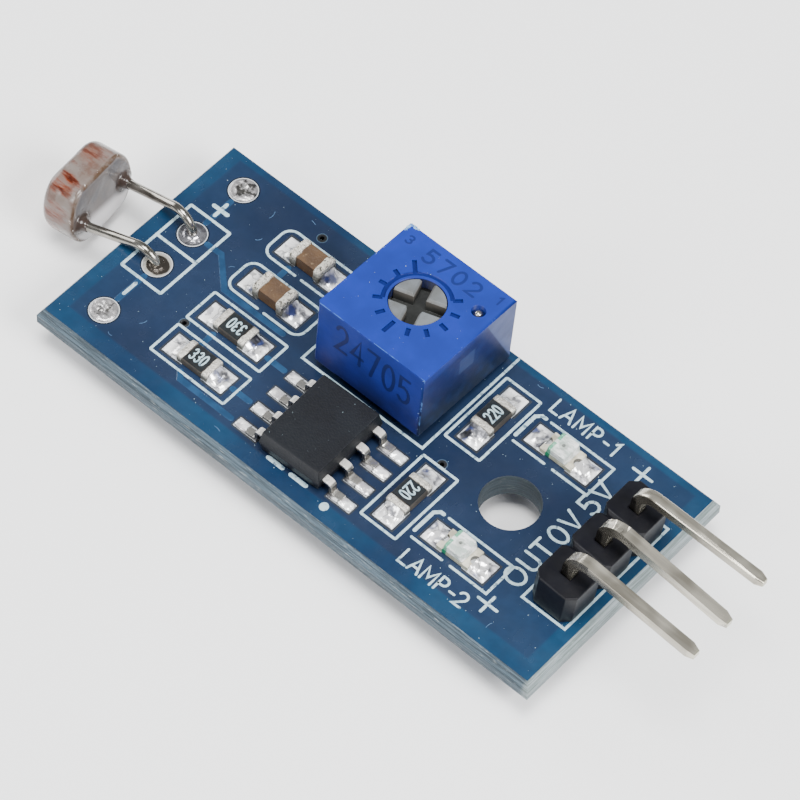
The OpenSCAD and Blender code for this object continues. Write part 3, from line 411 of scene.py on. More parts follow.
def lamp_resin():
    """Milky glassy lens: streaked white with a green mark, a dark dot and a faint ring over the crystal."""
    s = Shade("lamp_resin")
    x, side = in_lamp(s)
    away = s.from_line(*LAMPS)
    streak = s.noise(3.2, 4.0, 0.6, stretch=(0.35, 1.0, 1.0)).ramp(0.4, 0.62)
    colour = s.mix(
        "#bcc8c2",
        (streak, "#ffffff"),
        (x.ramp(-0.1, -0.45) * 0.5, "#e8ece8"),
        (away.ramp(0.3, 0.2) * 0.7, "#a7b1a9"),
        (x.ramp(-0.3, -0.36) * side.ramp(0.08, 0.14) * 0.85, "#1c9a70"),
        (away.ramp(0.13, 0.06) * 0.8, "#3a3f38"),
    )
    return s.finish(colour, 0.1, streak + s.noise(4.0), 0.03, Alpha=0.72, Specular_IOR_Level=0.7)


def lamp_board():
    """Cream base with green marks at the corners of its -X end."""
    s = Shade("lamp_board")
    x, side = in_lamp(s)
    mark = x.ramp(-0.36, -0.4) * x.ramp(-0.66, -0.62) * side.ramp(0.24, 0.28)
    return s.finish(s.mix("#b9b8a6", (s.noise(2.0).ramp(0.35, 0.65), "#9a9a88"), (mark, "#0a7350")), 0.4)


def lamp_plating():
    """Plated lamp ends: pale cream on top, painted shade near-black down the end faces and in the notches."""
    s = Shade("lamp_plating")
    # Painted shade: near-black down the end faces and inside the notches
    down = (s.z + s.noise(4.0, 2.0) * 0.03).ramp(1.895, 1.875)
    colour = s.mix("#efe9d6", (s.noise(2.0).ramp(0.4, 0.6), "#c4bda8"), (down * 0.85, "#1b1916"))
    return s.finish(colour, 0.32, s.noise(2.0), 0.03, Metallic=0.4 - down * 0.2)


def crusty_plating(name, light, pits, metallic, bright_above, dark_below):
    """Fired and tinned ends: pale, granular, with grey hollows, and painted shade darkening the sides
    downward.
    """
    s = Shade(name)
    grain = s.noise(5.5, 4.0, 0.7)
    # Painted shade: the sides darker towards the board
    side = (s.z - BOARD_T).ramp(bright_above, dark_below)
    colour = s.mix(light, (grain.ramp(0.5, 0.38) * pits, "#55534a"), (side * 0.75, "#3d3b34"))
    return s.finish(colour, 0.4, grain, 0.2 * pits, Metallic=metallic)


def fillet_solder():
    """Solder of the chip parts: bright satin, creased, with painted reflections: dark patches, whiter low
    parts and blue-black reflections beside the part.
    """
    s = Shade("fillet_solder")
    low = (s.z - BOARD_T).ramp(0.14, 0.05)
    patches = s.noise(1.5, 2.5, 0.6, shift=3.0).ramp(0.53, 0.61)
    creases = abs(s.noise(0.9, 2.0, shift=11.0) - 0.5).ramp(0.03, 0.0)
    ragged = s.noise(1.6, 3.0, 0.6, shift=17.0) * 0.7 - 0.35
    shades = [
        (s.from_line(place) + ragged).ramp(radius + 0.08, radius * 0.5) * strength
        for place, radius, strength in SOLDER_SHADES
    ]
    reflected = s.mix("#14161f", (s.noise(1.8, 2.0, shift=9.0).ramp(0.42, 0.56), "#34437a"))
    # Painted reflections: dark patches, whiter low parts and the blue-black shades beside the part
    colour = s.mix(
        "#f6f5f5",
        (patches * 0.85, "#4b4d57"),
        (low * 0.85, s.mix("#ffffff", (patches * 0.65, "#85838c"))),
        (creases * 0.6, "#2b2c34"),
        (reduce(Value.most, shades), reflected),
    )
    skin = s.noise(1.3, 2.0) + s.noise(3.4, 2.0, shift=2.0) * 0.2
    return s.finish(colour, patches * 0.1 + 0.2 + low * 0.1, skin, 0.055, Metallic=0.62 - low * 0.35)


def foot_solder():
    """Solder of the chip's feet: bright on the pad's end, with painted shade under the lead, round its
    lowest rim and in a dark line at the toe.
    """
    s = Shade("foot_solder")
    x = abs(s.x - (CHIP_PLACE[0] - HOLE[0]))
    ragged = x + s.noise(3.0, 2.0) * 0.12
    toe = ragged.ramp(3.02, 3.08) * ragged.ramp(3.2, 3.13)
    # Painted shade: under the lead, round the lowest rim and in a line at the toe
    colour = s.mix(
        "#ffffff",
        (s.noise(2.0).ramp(0.46, 0.62), "#bfbcbf"),
        (x.ramp(2.8, 2.5) * 0.85, "#2c2a2a"),
        ((s.z - BOARD_T).ramp(0.07, 0.02) * 0.75, "#3d3d44"),
        (toe * 0.85, "#1f1d1d"),
    )
    return s.finish(colour, 0.24, s.noise(2.2, 2.0), 0.06, Metallic=0.4)


def pad_solder():
    """Solder in the bare round holes: grey silver with a cluster of dark pits and a dull middle."""
    s = Shade("pad_solder")
    away = s.from_line(*ROUND_PADS)
    wide = s.noise(1.8, 3.0, 0.6, shift=2.0)
    pits = s.noise(3.4, 5.0, 0.65, shift=1.0) + wide * 0.7 - away * 0.3 - s.y.ramp(-3.0, -5.0) * 0.12
    cloud = s.noise(2.4, 4.0, 0.6).ramp(0.38, 0.62)
    colour = s.mix(
        "#c4c1c1",
        (cloud, "#9d9b9c"),
        (pits.ramp(0.7, 0.8) * 0.9, "#2b2a29"),
        (away.ramp(0.6, 0.2) * 0.35, "#55544f"),
    )
    return s.finish(colour, cloud * 0.14 + 0.26, wide + s.noise(6.0, 3.0, 0.6) * 0.25, 0.07, Metallic=0.75)


def joint_solder():
    """Solder round the wires: bright and rippled. Round the near wire a painted dark reflection of a recess
    is ringed by a painted highlight.
    """
    s = Shade("solder")
    dull = s.noise(1.6, 3.0, 0.6, shift=7.0).ramp(0.42, 0.62)
    near = s.from_line(SENSOR_NEAR)
    top = s.z.ramp(0.8, 1.2)
    # Painted light round the near wire: a dark reflection in a recess and a bright ring round it
    recess = (near + s.noise(2.0, 2.0) * 0.16 - s.x * 0.1 - 2.26).ramp(0.72, 0.64) * top
    ring = near.ramp(0.9, 0.8) * top
    colour = s.mix("#bcbbc0", (dull, "#77767c"), (ring * 0.85, "#f4efe2"), (recess * 0.95, "#2a221c"))
    skin = s.noise(1.5, 2.0) + s.noise(4.0, 2.0, shift=4.0) * 0.16
    return s.finish(colour, dull * 0.1 + 0.14, skin, 0.09, Metallic=0.9 - ring * 0.15)


def lead_tin():
    """The chip's leads: dull grey feet, a painted highlight on the shoulders, painted shade where they drop.
    """
    s = Shade("lead_metal")
    patches = s.noise(1.6, 3.0, 0.6, shift=7.0).ramp(0.4, 0.66)
    # Painted highlight on the shoulders and painted shade where the leads drop
    shoulder = s.z.ramp(2.36, 2.44)
    drop = s.z.ramp(1.84, 1.92) * s.z.ramp(2.36, 2.22)
    grey = s.mix("#c4c1bb", (patches * 0.7, "#85827d"))
    colour = s.mix(grey, (drop * 0.6, "#3f3c3a"), (shoulder * 0.6, "#f0ede8"))
    return s.finish(colour, patches * 0.14 + 0.22, s.noise(1.6), 0.03, Metallic=0.92 - shoulder * 0.4)


def drawn_metal(name, light, dark, roughness, metallic, pins=False):
    """Drawn and tinned wire: smooth, with a few faint lines along it. The pins have painted shade on their
    -Y sides and along their run, a painted dark reflection at their roots, and pale cut tips."""
    s = Shade(name)
    lines = s.noise(3.0, 2.0, stretch=(0.06, 1.0, 1.0))
    cloud = s.noise(0.5, 2.0, shift=6.0).ramp(0.4, 0.6)
    colour = s.mix(dark, ((lines.ramp(0.38, 0.62) + cloud) * 0.5, light))
    if pins:
        sides = [abs(s.y + s.x * turn - (middle + 5.0 * turn) + 0.3) for middle, turn in PINS]
        run = s.x.ramp(5.2, 9.5)
        # Painted light on the pins: shade on the -Y sides and along the run, a dark reflection at the roots
        colour = s.mix(
            colour,
            (reduce(Value.least, sides).ramp(0.06, 0.03) * (0.85 - run * 0.5), "#4a4640"),
            (run * 0.35, dark),
            ((s.z + s.x * 0.3).ramp(6.9, 6.5) * s.x.ramp(5.75, 5.6) * 0.85, "#171615"),
            (s.x.ramp(13.25, 13.4) * 0.5, "#c9c7ad"),
        )
    return s.finish(colour, cloud * 0.06 + roughness, lines, 0.003, Metallic=metallic)


def bright_metal(name, light, dark, roughness, wave=2.0, depth=0.02):
    """Bright metal with a rippled skin and dull patches."""
    s = Shade(name)
    patches = s.noise(wave * 0.6, 3.0, 0.6, shift=7.0).ramp(0.4, 0.66)
    colour = s.mix(light, (patches, dark))
    return s.finish(colour, patches * 0.14 + roughness, s.noise(wave), depth, Metallic=1.0)


def fired_ceramic(name, light, dark, speck=None, depth=0.02, roughness=0.6):
    """Matt and finely grained, in slow clouds of two shades, with specks where a third is given."""
    s = Shade(name)
    colour = s.mix(light, (s.noise(1.3, 2.0, shift=5.0).ramp(0.35, 0.65), dark))
    if speck:
        colour = s.mix(colour, (s.noise(5.0, 2.0, shift=9.0).ramp(0.62, 0.7), speck))
    return s.finish(colour, roughness, s.noise(7.0, 4.0, 0.6), depth)


def moulded(name, light, dark, roughness, depth, wave=6.0, specular=0.5):
    """Moulded plastic: fine grain, slow shade changes and faint polish marks."""
    s = Shade(name)
    grain = s.noise(wave, 3.0, 0.6)
    colour = s.mix(light, (s.noise(0.5, shift=4.0).ramp(0.36, 0.64), dark))
    rough = grain.ramp(0.3, 0.7) * 0.1 + roughness
    return s.finish(colour, rough, grain, depth, Specular_IOR_Level=specular)


# Plain finishes: the rest of the arguments of their function
METALS = {
    "electrode_metal": ("#e0cfa4", "#c4ad7c", 0.35, 3.0),
    "spring_metal": ("#d8b46a", "#b58f4a", 0.25),
    "copper_alloy": ("#c98a55", "#a06a3d", 0.3),
    "silicon": ("#7d828c", "#5b606a", 0.1, 1.0, 0.01),
}
CERAMICS = {
    "ceramic": ("#464039", "#37322d"),
    "capacitor_ceramic": ("#563f28", "#493421", "#6f5a42", 0.03, 0.5),
    "light_sensitive_line": ("#c2442b", "#9c3320"),
    "resistive_ink": ("#3a332e", "#2c2622"),
}
PLASTICS = {
    "resistor_glaze": ("#161a1c", "#111315", 0.3, 0.02, 4.0),
    "lamp_crystal": ("#3a3c22", "#2b2d1b", 0.3, 0.01),
    "seal_rubber": ("#232324", "#1a1a1b", 0.6, 0.02),
    "sealing_resin": ("#2a3c60", "#1f2d4b", 0.3, 0.03, 2.0),
    "chip_moulding": ("#0e1116", "#0a0c11", 0.42, 0.02, 9.0, 0.25),
    "header_plastic": ("#090a11", "#07070c", 0.34, 0.012, 1.2, 0.17),
    "pad_margin": ("#0a1018", "#101a26", 0.5, 0.01),
    "lint": ("#3a5a7c", "#4d7094", 0.6, 0.005),
}

# All finishes by the record's slot, or by the use that only some pieces have
MATERIAL = {
    "solder_mask": solder_mask(),
    "board_sheet": glass_epoxy(),
    "tinned_copper": pad_tin(),
    "solder": joint_solder(),
    "end_plating": crusty_plating("crusty_plating", "#dcd7cb", 1.0, 0.4, 0.8, 0.35),
    "low_end_plating": crusty_plating("low_crusty_plating", "#c6c2b9", 0.4, 0.6, 0.5, 0.2),
    "tinned_wire": drawn_metal("tinned_wire", "#b3b0a8", "#77736c", 0.17, 0.95),
    "pin_metal": drawn_metal("pin_metal", "#dfdacb", "#a19b8d", 0.2, 0.86, pins=True),
    "lead_metal": lead_tin(),
    "lamp_board": lamp_board(),
    "lamp_resin": lamp_resin(),
    "lamp_plating": lamp_plating(),
    "clear_resin": sensor_resin(),
    "trimmer_case": trimmer_blue(),
    "rotor_plastic": rotor_plastic(),
    "fillet_solder": fillet_solder(),
    "foot_solder": foot_solder(),
    "pad_solder": pad_solder(),
    "mask_over_track": mask_over_track(),
    "legend": legend_ink(),
    "cut_digit": cut_digit(),
    "flash": moulding_flash(),
}
for make, table in ((bright_metal, METALS), (fired_ceramic, CERAMICS), (moulded, PLASTICS)):
    MATERIAL.update({name: make(name, *values) for name, values in table.items()})

# CAD pieces that are finished unlike the rest of their slot
FINISHES = {"header_pin_%d" % n: "pin_metal" for n in (1, 2, 3)}
FINISHES.update({"lamp_%d_ends" % n: "lamp_plating" for n in (1, 2)})

# CAD pieces whose edges are rounded: the width and the number of steps
ROUNDED = {
    "header_pin_1": (0.1, 3), "header_pin_2": (0.1, 3), "header_pin_3": (0.1, 3), "header_block": (0.07, 2),
    "chip_body": (0.05, 2), "trimmer_rotor": (0.06, 3), "trimmer_housing": (0.03, 2),
    "lamp_1_lens": (0.1, 3), "lamp_2_lens": (0.1, 3), "chip_leads": (0.03, 2),
}


def dress():
    """Gives each CAD node the finish of its slot in the record."""
    slots = {p["node"]: p["material_slot"] for p in frame["record"]["subparts"]}
    for name, node in frame["nodes"].items():
        node.data.materials.clear()
        node.data.materials.append(MATERIAL[FINISHES.get(name, slots[name])])


def soften():
    """Rounds the edges of some CAD nodes."""
    for name, (width, steps) in ROUNDED.items():
        node = frame["nodes"][name]
        weld = node.modifiers.new("join", "WELD")
        weld.merge_threshold = 1e-6
        bevel = node.modifiers.new("round", "BEVEL")
        bevel.width = width * MM
        bevel.segments = steps
        bevel.limit_method = "ANGLE"
        bevel.angle_limit = math.radians(40)


# Mesh kit


def to_row(points):
    """From millimetres about the board's middle to metres in the row's frame."""
    return (np.asarray(points, float) - HOLE) * MM


def on_case(points):
    """From the trimmer case's own millimetres, x and y from its middle and z as if it stood straight."""
    own = np.asarray(points, float) - (0.0, FEET_Y, BOARD_T)
    return FEET + own @ np.array([(1.0, 0.0, 0.0), CASE_BACK, CASE_UP])


def placed(x, y, place, turn):
    """Flat coordinates, turned by some degrees and moved to a place."""
    c, d = math.cos(math.radians(turn)), math.sin(math.radians(turn))
    return place[0] + x * c - y * d, place[1] + x * d + y * c


def piece(name, points, blocks, material, slot, smooth=True, replaces=()):
    """Makes a mesh object that rides the board, from points in the row's frame and arrays of faces."""
    mesh = bpy.data.meshes.new(name)
    mesh.from_pydata(points.tolist(), [], [face for block in blocks for face in block.tolist()])
    mesh.update()
    if smooth:
        mesh.shade_smooth()
    else:
        mesh.shade_flat()
    mesh.materials.append(MATERIAL[material])
    made = bpy.data.objects.new(name, mesh)
    bpy.context.scene.collection.objects.link(made)
    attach(made, "board")
    if replaces:
        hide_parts(*replaces)


def grid_faces(rows, columns, start=0, wrap=False):
    """Quads of a grid of points, row after row. wrap joins the last column to the first."""
    i = np.arange(rows - 1)[:, None] * columns
    j = np.arange(columns if wrap else columns - 1)[None, :]
    k = (j + 1) % columns
    quads = np.stack([i + j, i + k, i + columns + k, i + columns + j], -1)
    return quads.reshape(-1, 4) + start


def shell(rings):
    """Points and faces of a closed shell from rings. The first and last ring shrink to their middles."""
    rings = np.asarray(rings, float)
    inner, columns = len(rings) - 2, rings.shape[1]
    points = np.concatenate([rings[0].mean(0)[None], rings[1:-1].reshape(-1, 3), rings[-1].mean(0)[None]])
    last = 1 + inner * columns
    j = np.arange(columns)
    k = (j + 1) % columns
    first_fan = np.stack([0 * j, 1 + k, 1 + j], 1)
    last_fan = np.stack([last + 0 * j, last - columns + j, last - columns + k], 1)
    return points, [grid_faces(inner, columns, 1, wrap=True), first_fan, last_fan]


def turned(profile, centre, axis=(0.0, 0.0, 1.0), columns=48, wobble=None):
    """Rings of a turned shape. profile has a radius and a height along the axis for each ring, and wobble
    is a function of the angle and the radius that is added to the height."""
    axis = np.asarray(axis, float)
    side = np.cross(axis, (0.0, 1.0, 0.0) if abs(axis[1]) < 0.9 else (1.0, 0.0, 0.0))
    side = side / np.linalg.norm(side)
    other = np.cross(axis, side)
    a = np.linspace(0, 2 * math.pi, columns, endpoint=False)[None, :, None]
    r, h = (np.asarray(profile, float)[:, i][:, None, None] for i in (0, 1))
    if wobble is not None:
        h = h + wobble(a[..., 0], r[..., 0])[..., None]
    return np.asarray(centre, float) + r * (np.cos(a) * side + np.sin(a) * other) + h * axis


class Heap:
    """Collects many small shapes into one mesh. Their faces are arrays, one for each number of corners."""

    def __init__(self):
        self.points = []
        self.blocks = []
        self.count = 0

    def add(self, points, blocks, flip=False):
        """Adds a shape. flip turns its faces round."""
        points = np.asarray(points, float).reshape(-1, 3)
        self.points.append(points)
        self.blocks += [(block[:, ::-1] if flip else block) + self.count for block in blocks]
        self.count += len(points)

    def scatter(self, points, faces):
        """Adds many alike shapes: an array of shapes by corners by x, y and z, and the faces of one."""
        first = np.arange(len(points))[:, None, None] * points.shape[1]
        self.add(points, [(first + faces).reshape(-1, faces.shape[1])])

    def out(self):
        return np.concatenate(self.points), self.blocks

    def make(self, name, material, slot, **options):
        """One piece from all the shapes, which are in millimetres. The options are those of piece."""
        points, blocks = self.out()
        piece(name, to_row(points), blocks, material, slot, **options)


def stroke(heap, path, width, z, height, closed=False):
    """A ribbon of ink. A low trapezoid is carried along a flat path, mitred at the corners; a free end is a
    half circle: its half-width is the square root of 1 - t squared over the last half-width of length."""
    path = np.asarray(path, float)
    half = width / 2
    ahead = np.roll(path, -1, 0) - path if closed else np.diff(path, axis=0)
    ahead = ahead / np.linalg.norm(ahead, axis=1, keepdims=True)
    side = np.stack([-ahead[:, 1], ahead[:, 0]], 1)
    if closed:
        before, after = np.roll(side, 1, 0), side
    else:
        before, after = np.concatenate([side[:1], side]), np.concatenate([side, side[-1:]])
    mitre = (before + after) / (1 + np.sum(before * after, 1, keepdims=True)).clip(0.35)
    share = np.ones(len(path))
    if not closed:
        t = np.cos(np.linspace(0.06, math.pi / 2, 5))[:-1]
        cap = np.sqrt(1 - t * t)
        first = path[0] - ahead[0] * t[:, None] * half
        last = path[-1] + ahead[-1] * t[::-1, None] * half
        path = np.concatenate([first, path, last])
        mitre = np.concatenate([np.repeat(mitre[:1], len(t), 0), mitre, np.repeat(mitre[-1:], len(t), 0)])
        share = np.concatenate([cap, share, cap[::-1]])
    n = len(path)
    across = np.array([-1.0, -0.8, 0.8, 1.0])
    lift = np.array([0.0, height, height, 0.0])
    flat = path[:, None, :] + mitre[:, None, :] * across[None, :, None] * half * share[:, None, None]
    points = np.concatenate([flat, np.broadcast_to(z + lift[None, :, None], (n, 4, 1))], 2)
    sides = grid_faces(n + 1 if closed else n, 4, wrap=True)
    ends = np.array([[3, 2, 1, 0], [4 * n - 4, 4 * n - 3, 4 * n - 2, 4 * n - 1]])
    heap.add(points, [sides % (4 * n)] if closed else [sides, ends], flip=True)


def arc(centre, r, start, end, n=10, squash=1.0):
    """Points on an arc, angles in degrees."""
    a = np.radians(np.linspace(start, end, n))
    return np.stack([centre[0] + r * np.cos(a), centre[1] + r * squash * np.sin(a)], 1).tolist()


def box_path(x0, x1, y0, y1, r=0.06):
    """A closed rectangle with rounded corners."""
    corners = ((x1 - r, y1 - r), (x0 + r, y1 - r), (x0 + r, y0 + r), (x1 - r, y0 + r))
    return [point for n, corner in enumerate(corners) for point in arc(corner, r, 90 * n, 90 * n + 90, 4)]


# Each sign's lines, 1 high
GLYPHS = {
    "0": [arc((0.3, 0.5), 0.3, 0, 342, 20, 1.67)],
    "1": [[(0.12, 0.8), (0.34, 1.0), (0.34, 0.0)]],
    "2": [arc((0.3, 0.7), 0.29, 160, -35, 10) + [(0.02, 0.0), (0.6, 0.0)]],
    "3": [arc((0.28, 0.75), 0.25, 150, -90, 9), arc((0.28, 0.26), 0.27, 90, -150, 9)],
    "4": [[(0.46, 0.0), (0.46, 1.0), (0.0, 0.3), (0.62, 0.3)]],
    "5": [[(0.54, 1.0), (0.08, 1.0), (0.06, 0.58)] + arc((0.27, 0.32), 0.31, 115, -145, 10)],
    "7": [[(0.02, 1.0), (0.58, 1.0), (0.22, 0.0)]],
    "L": [[(0.04, 1.0), (0.04, 0.0), (0.56, 0.0)]],
    "A": [[(0.0, 0.0), (0.36, 1.0), (0.72, 0.0)], [(0.14, 0.34), (0.58, 0.34)]],
    "M": [[(0.04, 0.0), (0.04, 1.0), (0.42, 0.3), (0.8, 1.0), (0.8, 0.0)]],
    "P": [[(0.04, 0.0), (0.04, 1.0), (0.3, 1.0)] + arc((0.3, 0.73), 0.27, 85, -85, 8)
          + [(0.3, 0.46), (0.04, 0.46)]],
    "O": [arc((0.38, 0.5), 0.38, 0, 345, 22, 1.3)],
    "U": [[(0.04, 1.0), (0.04, 0.32)] + arc((0.32, 0.3), 0.28, 190, 350, 8) + [(0.6, 0.32), (0.6, 1.0)]],
    "T": [[(0.0, 1.0), (0.64, 1.0)], [(0.32, 1.0), (0.32, 0.0)]],
    "V": [[(0.0, 1.0), (0.34, 0.0), (0.68, 1.0)]],
    "-": [[(0.08, 0.45), (0.42, 0.45)]],
}
CLOSED_GLYPHS = ("0", "O")
ADVANCE = {"1": 0.62, "-": 0.62, "O": 0.98, "V": 0.86, "T": 0.82, "L": 0.76, "A": 0.92, "M": 1.06}
PLAIN_ADVANCE = 0.84


def write(heap, text, start, height, width, z, thick, gap=0.0, wide=1.0, turn=0.0, anchor=(0.0, 0.0)):
    """Draws a text as strokes, turned by some degrees. anchor is the start's place in it, in heights."""
    right, up = (np.array(placed(x, y, (0.0, 0.0), turn)) for x, y in ((1.0, 0.0), (0.0, 1.0)))
    start = np.asarray(start, float) - (anchor[0] * right + anchor[1] * up) * height
    pen = 0.0
    for n, letter in enumerate(text):
        for k, line in enumerate(GLYPHS[letter]):
            line = np.asarray(line, float)
            flat = start + ((line[:, :1] * wide + pen) * right + line[:, 1:] * up) * height
            stroke(heap, flat, width, z, thick + 0.0006 * ((n + k) % 5), closed=letter in CLOSED_GLYPHS)
        pen += (ADVANCE.get(letter, PLAIN_ADVANCE) + gap) * wide


# Board print and tracks

LINE = 0.155
INK = 0.014
INK_Z = BOARD_T - 0.002                # print starts a little inside the mask
SKIN_Z = BOARD_T - 0.004               # so do tracks and solder
NUMBER_Z = BOARD_T + 0.508             # just inside the resistors' tops

# The white lines: path, width and whether it is closed
PRINTED = (
    (box_path(-15.1, -12.4, -2.35, 2.8), 0.18, True),
    ([(-15.1, 0.24), (-12.4, 0.24)], 0.18, False),
    (box_path(-10.45, -5.5, -2.5, -0.4), LINE, True),
    (box_path(-10.45, -5.5, -5.15, -3.1), LINE, True),
    (box_path(3.8, 6.05, 0.95, 5.65), LINE, True),
    (box_path(3.8, 6.05, -5.3, -0.65), LINE, True),
    ([(-4.5, 6.9), (-4.5, -0.4), (3.5, -0.4), (3.5, 6.9)], LINE, False),
    ([(-1.69, -5.96), (-0.77, -5.96)], 0.26, False),
    ([(-0.19, -5.96), (0.77, -5.96)], 0.26, False),
    ([(2.25, -6.26), (2.25, -6.24)], 0.5, False),
    ([(7.2, 5.1), (11.25, 5.1), (11.25, 3.0), (9.05, 3.0)], LINE, False),
    ([(8.5, 3.0), (6.5, 3.0)], LINE, False),
    ([(6.85, 5.1), (6.6, 5.1), (6.35, 4.85), (6.35, 3.35)], 0.22, False),
    ([(7.2, -2.6), (11.35, -2.6), (11.35, -4.65), (9.05, -4.65)], LINE, False),
    ([(8.5, -4.65), (6.55, -4.65)], LINE, False),
    ([(6.85, -2.6), (6.65, -2.6), (6.4, -2.85), (6.4, -4.25)], 0.22, False),
    ([(12.75, -2.3), (12.75, -3.6), (15.45, -3.6), (15.45, 4.2), (13.6, 4.2)], LINE, False),
)

# Printed crosses: middle, half lengths along x and y, and width
CROSSES = (
    ((-13.75, 3.57), 0.45, 0.44, 0.25), ((12.5, 5.8), 0.58, 0.52, 0.17), ((11.8, -5.05), 0.58, 0.52, 0.17),
)

TOP_TRACKS = (
    [(-12.78, 1.52), (-11.85, 1.55), (-10.2, 0.0), (-6.2, 0.0)],
    [(-13.75, 4.32), (-13.75, 2.46)],
    [(-13.75, -2.12), (-13.75, -4.05)],
    [(-5.75, -1.6), (-4.65, -1.6)],
    [(-5.75, -4.15), (-4.65, -4.15)],
    [(-8.4, -5.15), (-8.1, -5.5), (-4.65, -5.5)],
    [(-8.75, 2.3), (-8.75, 3.2)],
    [(-8.75, -3.2), (-8.75, -2.4)],
)
LOW_TRACKS = (
    [(13.1, 2.84), (10.8, 2.84), (8.96, 4.68), (3.1, 4.68)],
    [(13.1, -2.24), (11.5, -3.84), (6.8, -3.84), (4.85, -1.9), (4.85, -0.85)],
    [(-0.31, 1.3), (-0.31, 0.6), (-3.77, -2.86), (-9.9, -2.86)],
    [(-8.4, 5.79), (-4.5, 5.79), (-3.5, 4.95)],
    [(-13.0, -1.14), (-7.0, -1.14), (-3.4, 2.46), (-1.2, 2.46)],
)

# The resistors' numbers: text, middle and turn
NUMBERS = (
    ("330", (-8.0, -1.5), 180), ("330", (-8.0, -4.15), 0),
    ("220", (4.93, 3.3), 90), ("220", (4.9, -3.0), -90),
)


def rounded_frame(low, high, r=0.6):
    """The frame round a capacitor, open in the middle of its -Y side."""
    left, right = -10.45 + r, -5.45 - r
    corners = (
        (left, low + r, 270, 180), (left, high - r, 180, 90),
        (right, high - r, 90, 0), (right, low + r, 360, 270),
    )
    bends = [point for x, y, start, end in corners for point in arc((x, y), r, start, end, 6)]
    return [(-8.2, low)] + bends + [(-7.75, low)]


def legend():
    """White print: frames round the parts, their signs and the generic labels."""
    heap = Heap()
    frames = tuple((rounded_frame(low, high), LINE, False) for low, high in ((0.3, 2.4), (3.1, 5.2)))
    for n, (path, width, closed) in enumerate(PRINTED + frames):
        stroke(heap, path, width, INK_Z, INK + 0.0008 * (n % 7), closed)
    for (x, y), half_x, half_y, width in CROSSES:
        stroke(heap, [(x - half_x, y), (x + half_x, y)], width, INK_Z, INK)
        stroke(heap, [(x, y - half_y), (x, y + half_y)], width, INK_Z, INK + 0.001)
    stroke(heap, [(-13.75, -3.58), (-13.75, -2.76)], 0.24, INK_Z, INK)
    write(heap, "LAMP-1", (6.6, 5.62), 0.84, 0.14, INK_Z, INK, 0.05)
    write(heap, "LAMP-2", (6.9, -6.13), 0.84, 0.14, INK_Z, INK)
    for sign, y in (("OUT", -3.35), ("0V", -0.05), ("5V", 2.3)):
        write(heap, sign, (12.3, y), 1.12, 0.17, INK_Z, INK, 0.02, 1.04, turn=90)
    heap.make("board_legend", "legend", "solder_mask", smooth=False)


def tracks():
    """Copper lines that lift the mask a little, on both sides of the board."""
    heap, below = Heap(), Heap()
    for n, path in enumerate(TOP_TRACKS):
        stroke(heap, path, 0.36, SKIN_Z, 0.013 + 0.0004 * n)
    for n, path in enumerate(LOW_TRACKS):
        stroke(below, path, 0.42, 0.004, -0.017 - 0.0004 * n)
    heap.add(*below.out(), flip=True)
    heap.make("track_ridges", "mask_over_track", "solder_mask", smooth=False)


def part_numbers():
    """Generic value numbers printed on the chip resistors."""
    heap = Heap()
    for text, middle, turn in NUMBERS:
        write(heap, text, middle, 0.66, 0.1, NUMBER_Z, 0.012, 0.06, 0.56, turn, (0.73, 0.5))
    heap.make("resistor_numbers", "legend", "resistor_glaze", smooth=False)


def pad_margins():
    """The narrow gap between each pad and the mask, where the bare board shows as a dark line."""
    heap = Heap()
    half, near, far = 0.71, 0.75, 2.06
    for place, turn, *_ in CHIP_PARTS:
        for side in (-1, 1):
            corners = ((side * near, -half), (side * far, -half), (side * far, half), (side * near, half))
            path = [placed(x, y, place, turn) for x, y in corners]
            stroke(heap, path, 0.12, INK_Z, 0.006)
    for side in (-1, 1):
        left, right = sorted(CHIP_PLACE[0] + side * x for x in (2.3, 3.9))
        for row in range(4):
            y = CHIP_PLACE[1] + (row - 1.5) * CHIP_PITCH
            stroke(heap, box_path(left, right, y - 0.35, y + 0.35), 0.1, INK_Z, 0.006, True)
    heap.make("pad_margins", "pad_margin", "solder_mask", smooth=False)


# Solder and end plating


def slab(heap, x, y, z, place, turn):
    """Adds a skin of solder from grids of x, y and z, closed by walls and a flat underside in the board."""
    across, along = placed(x, y, place, turn)
    levels = (z, np.full_like(z, SKIN_Z))
    points = np.concatenate([np.stack([across, along, level], -1).reshape(-1, 3) for level in levels])
    grid = np.arange(z.size).reshape(z.shape)
    rim = np.concatenate([grid[::-1, 0], grid[0, 1:], grid[1:, -1], grid[-1, -2:0:-1]])
    after = np.roll(rim, -1)
    wall = np.stack([rim, rim + z.size, after + z.size, after], 1)
    heap.add(points, [grid_faces(*z.shape), grid_faces(*z.shape, z.size)[:, ::-1], wall])


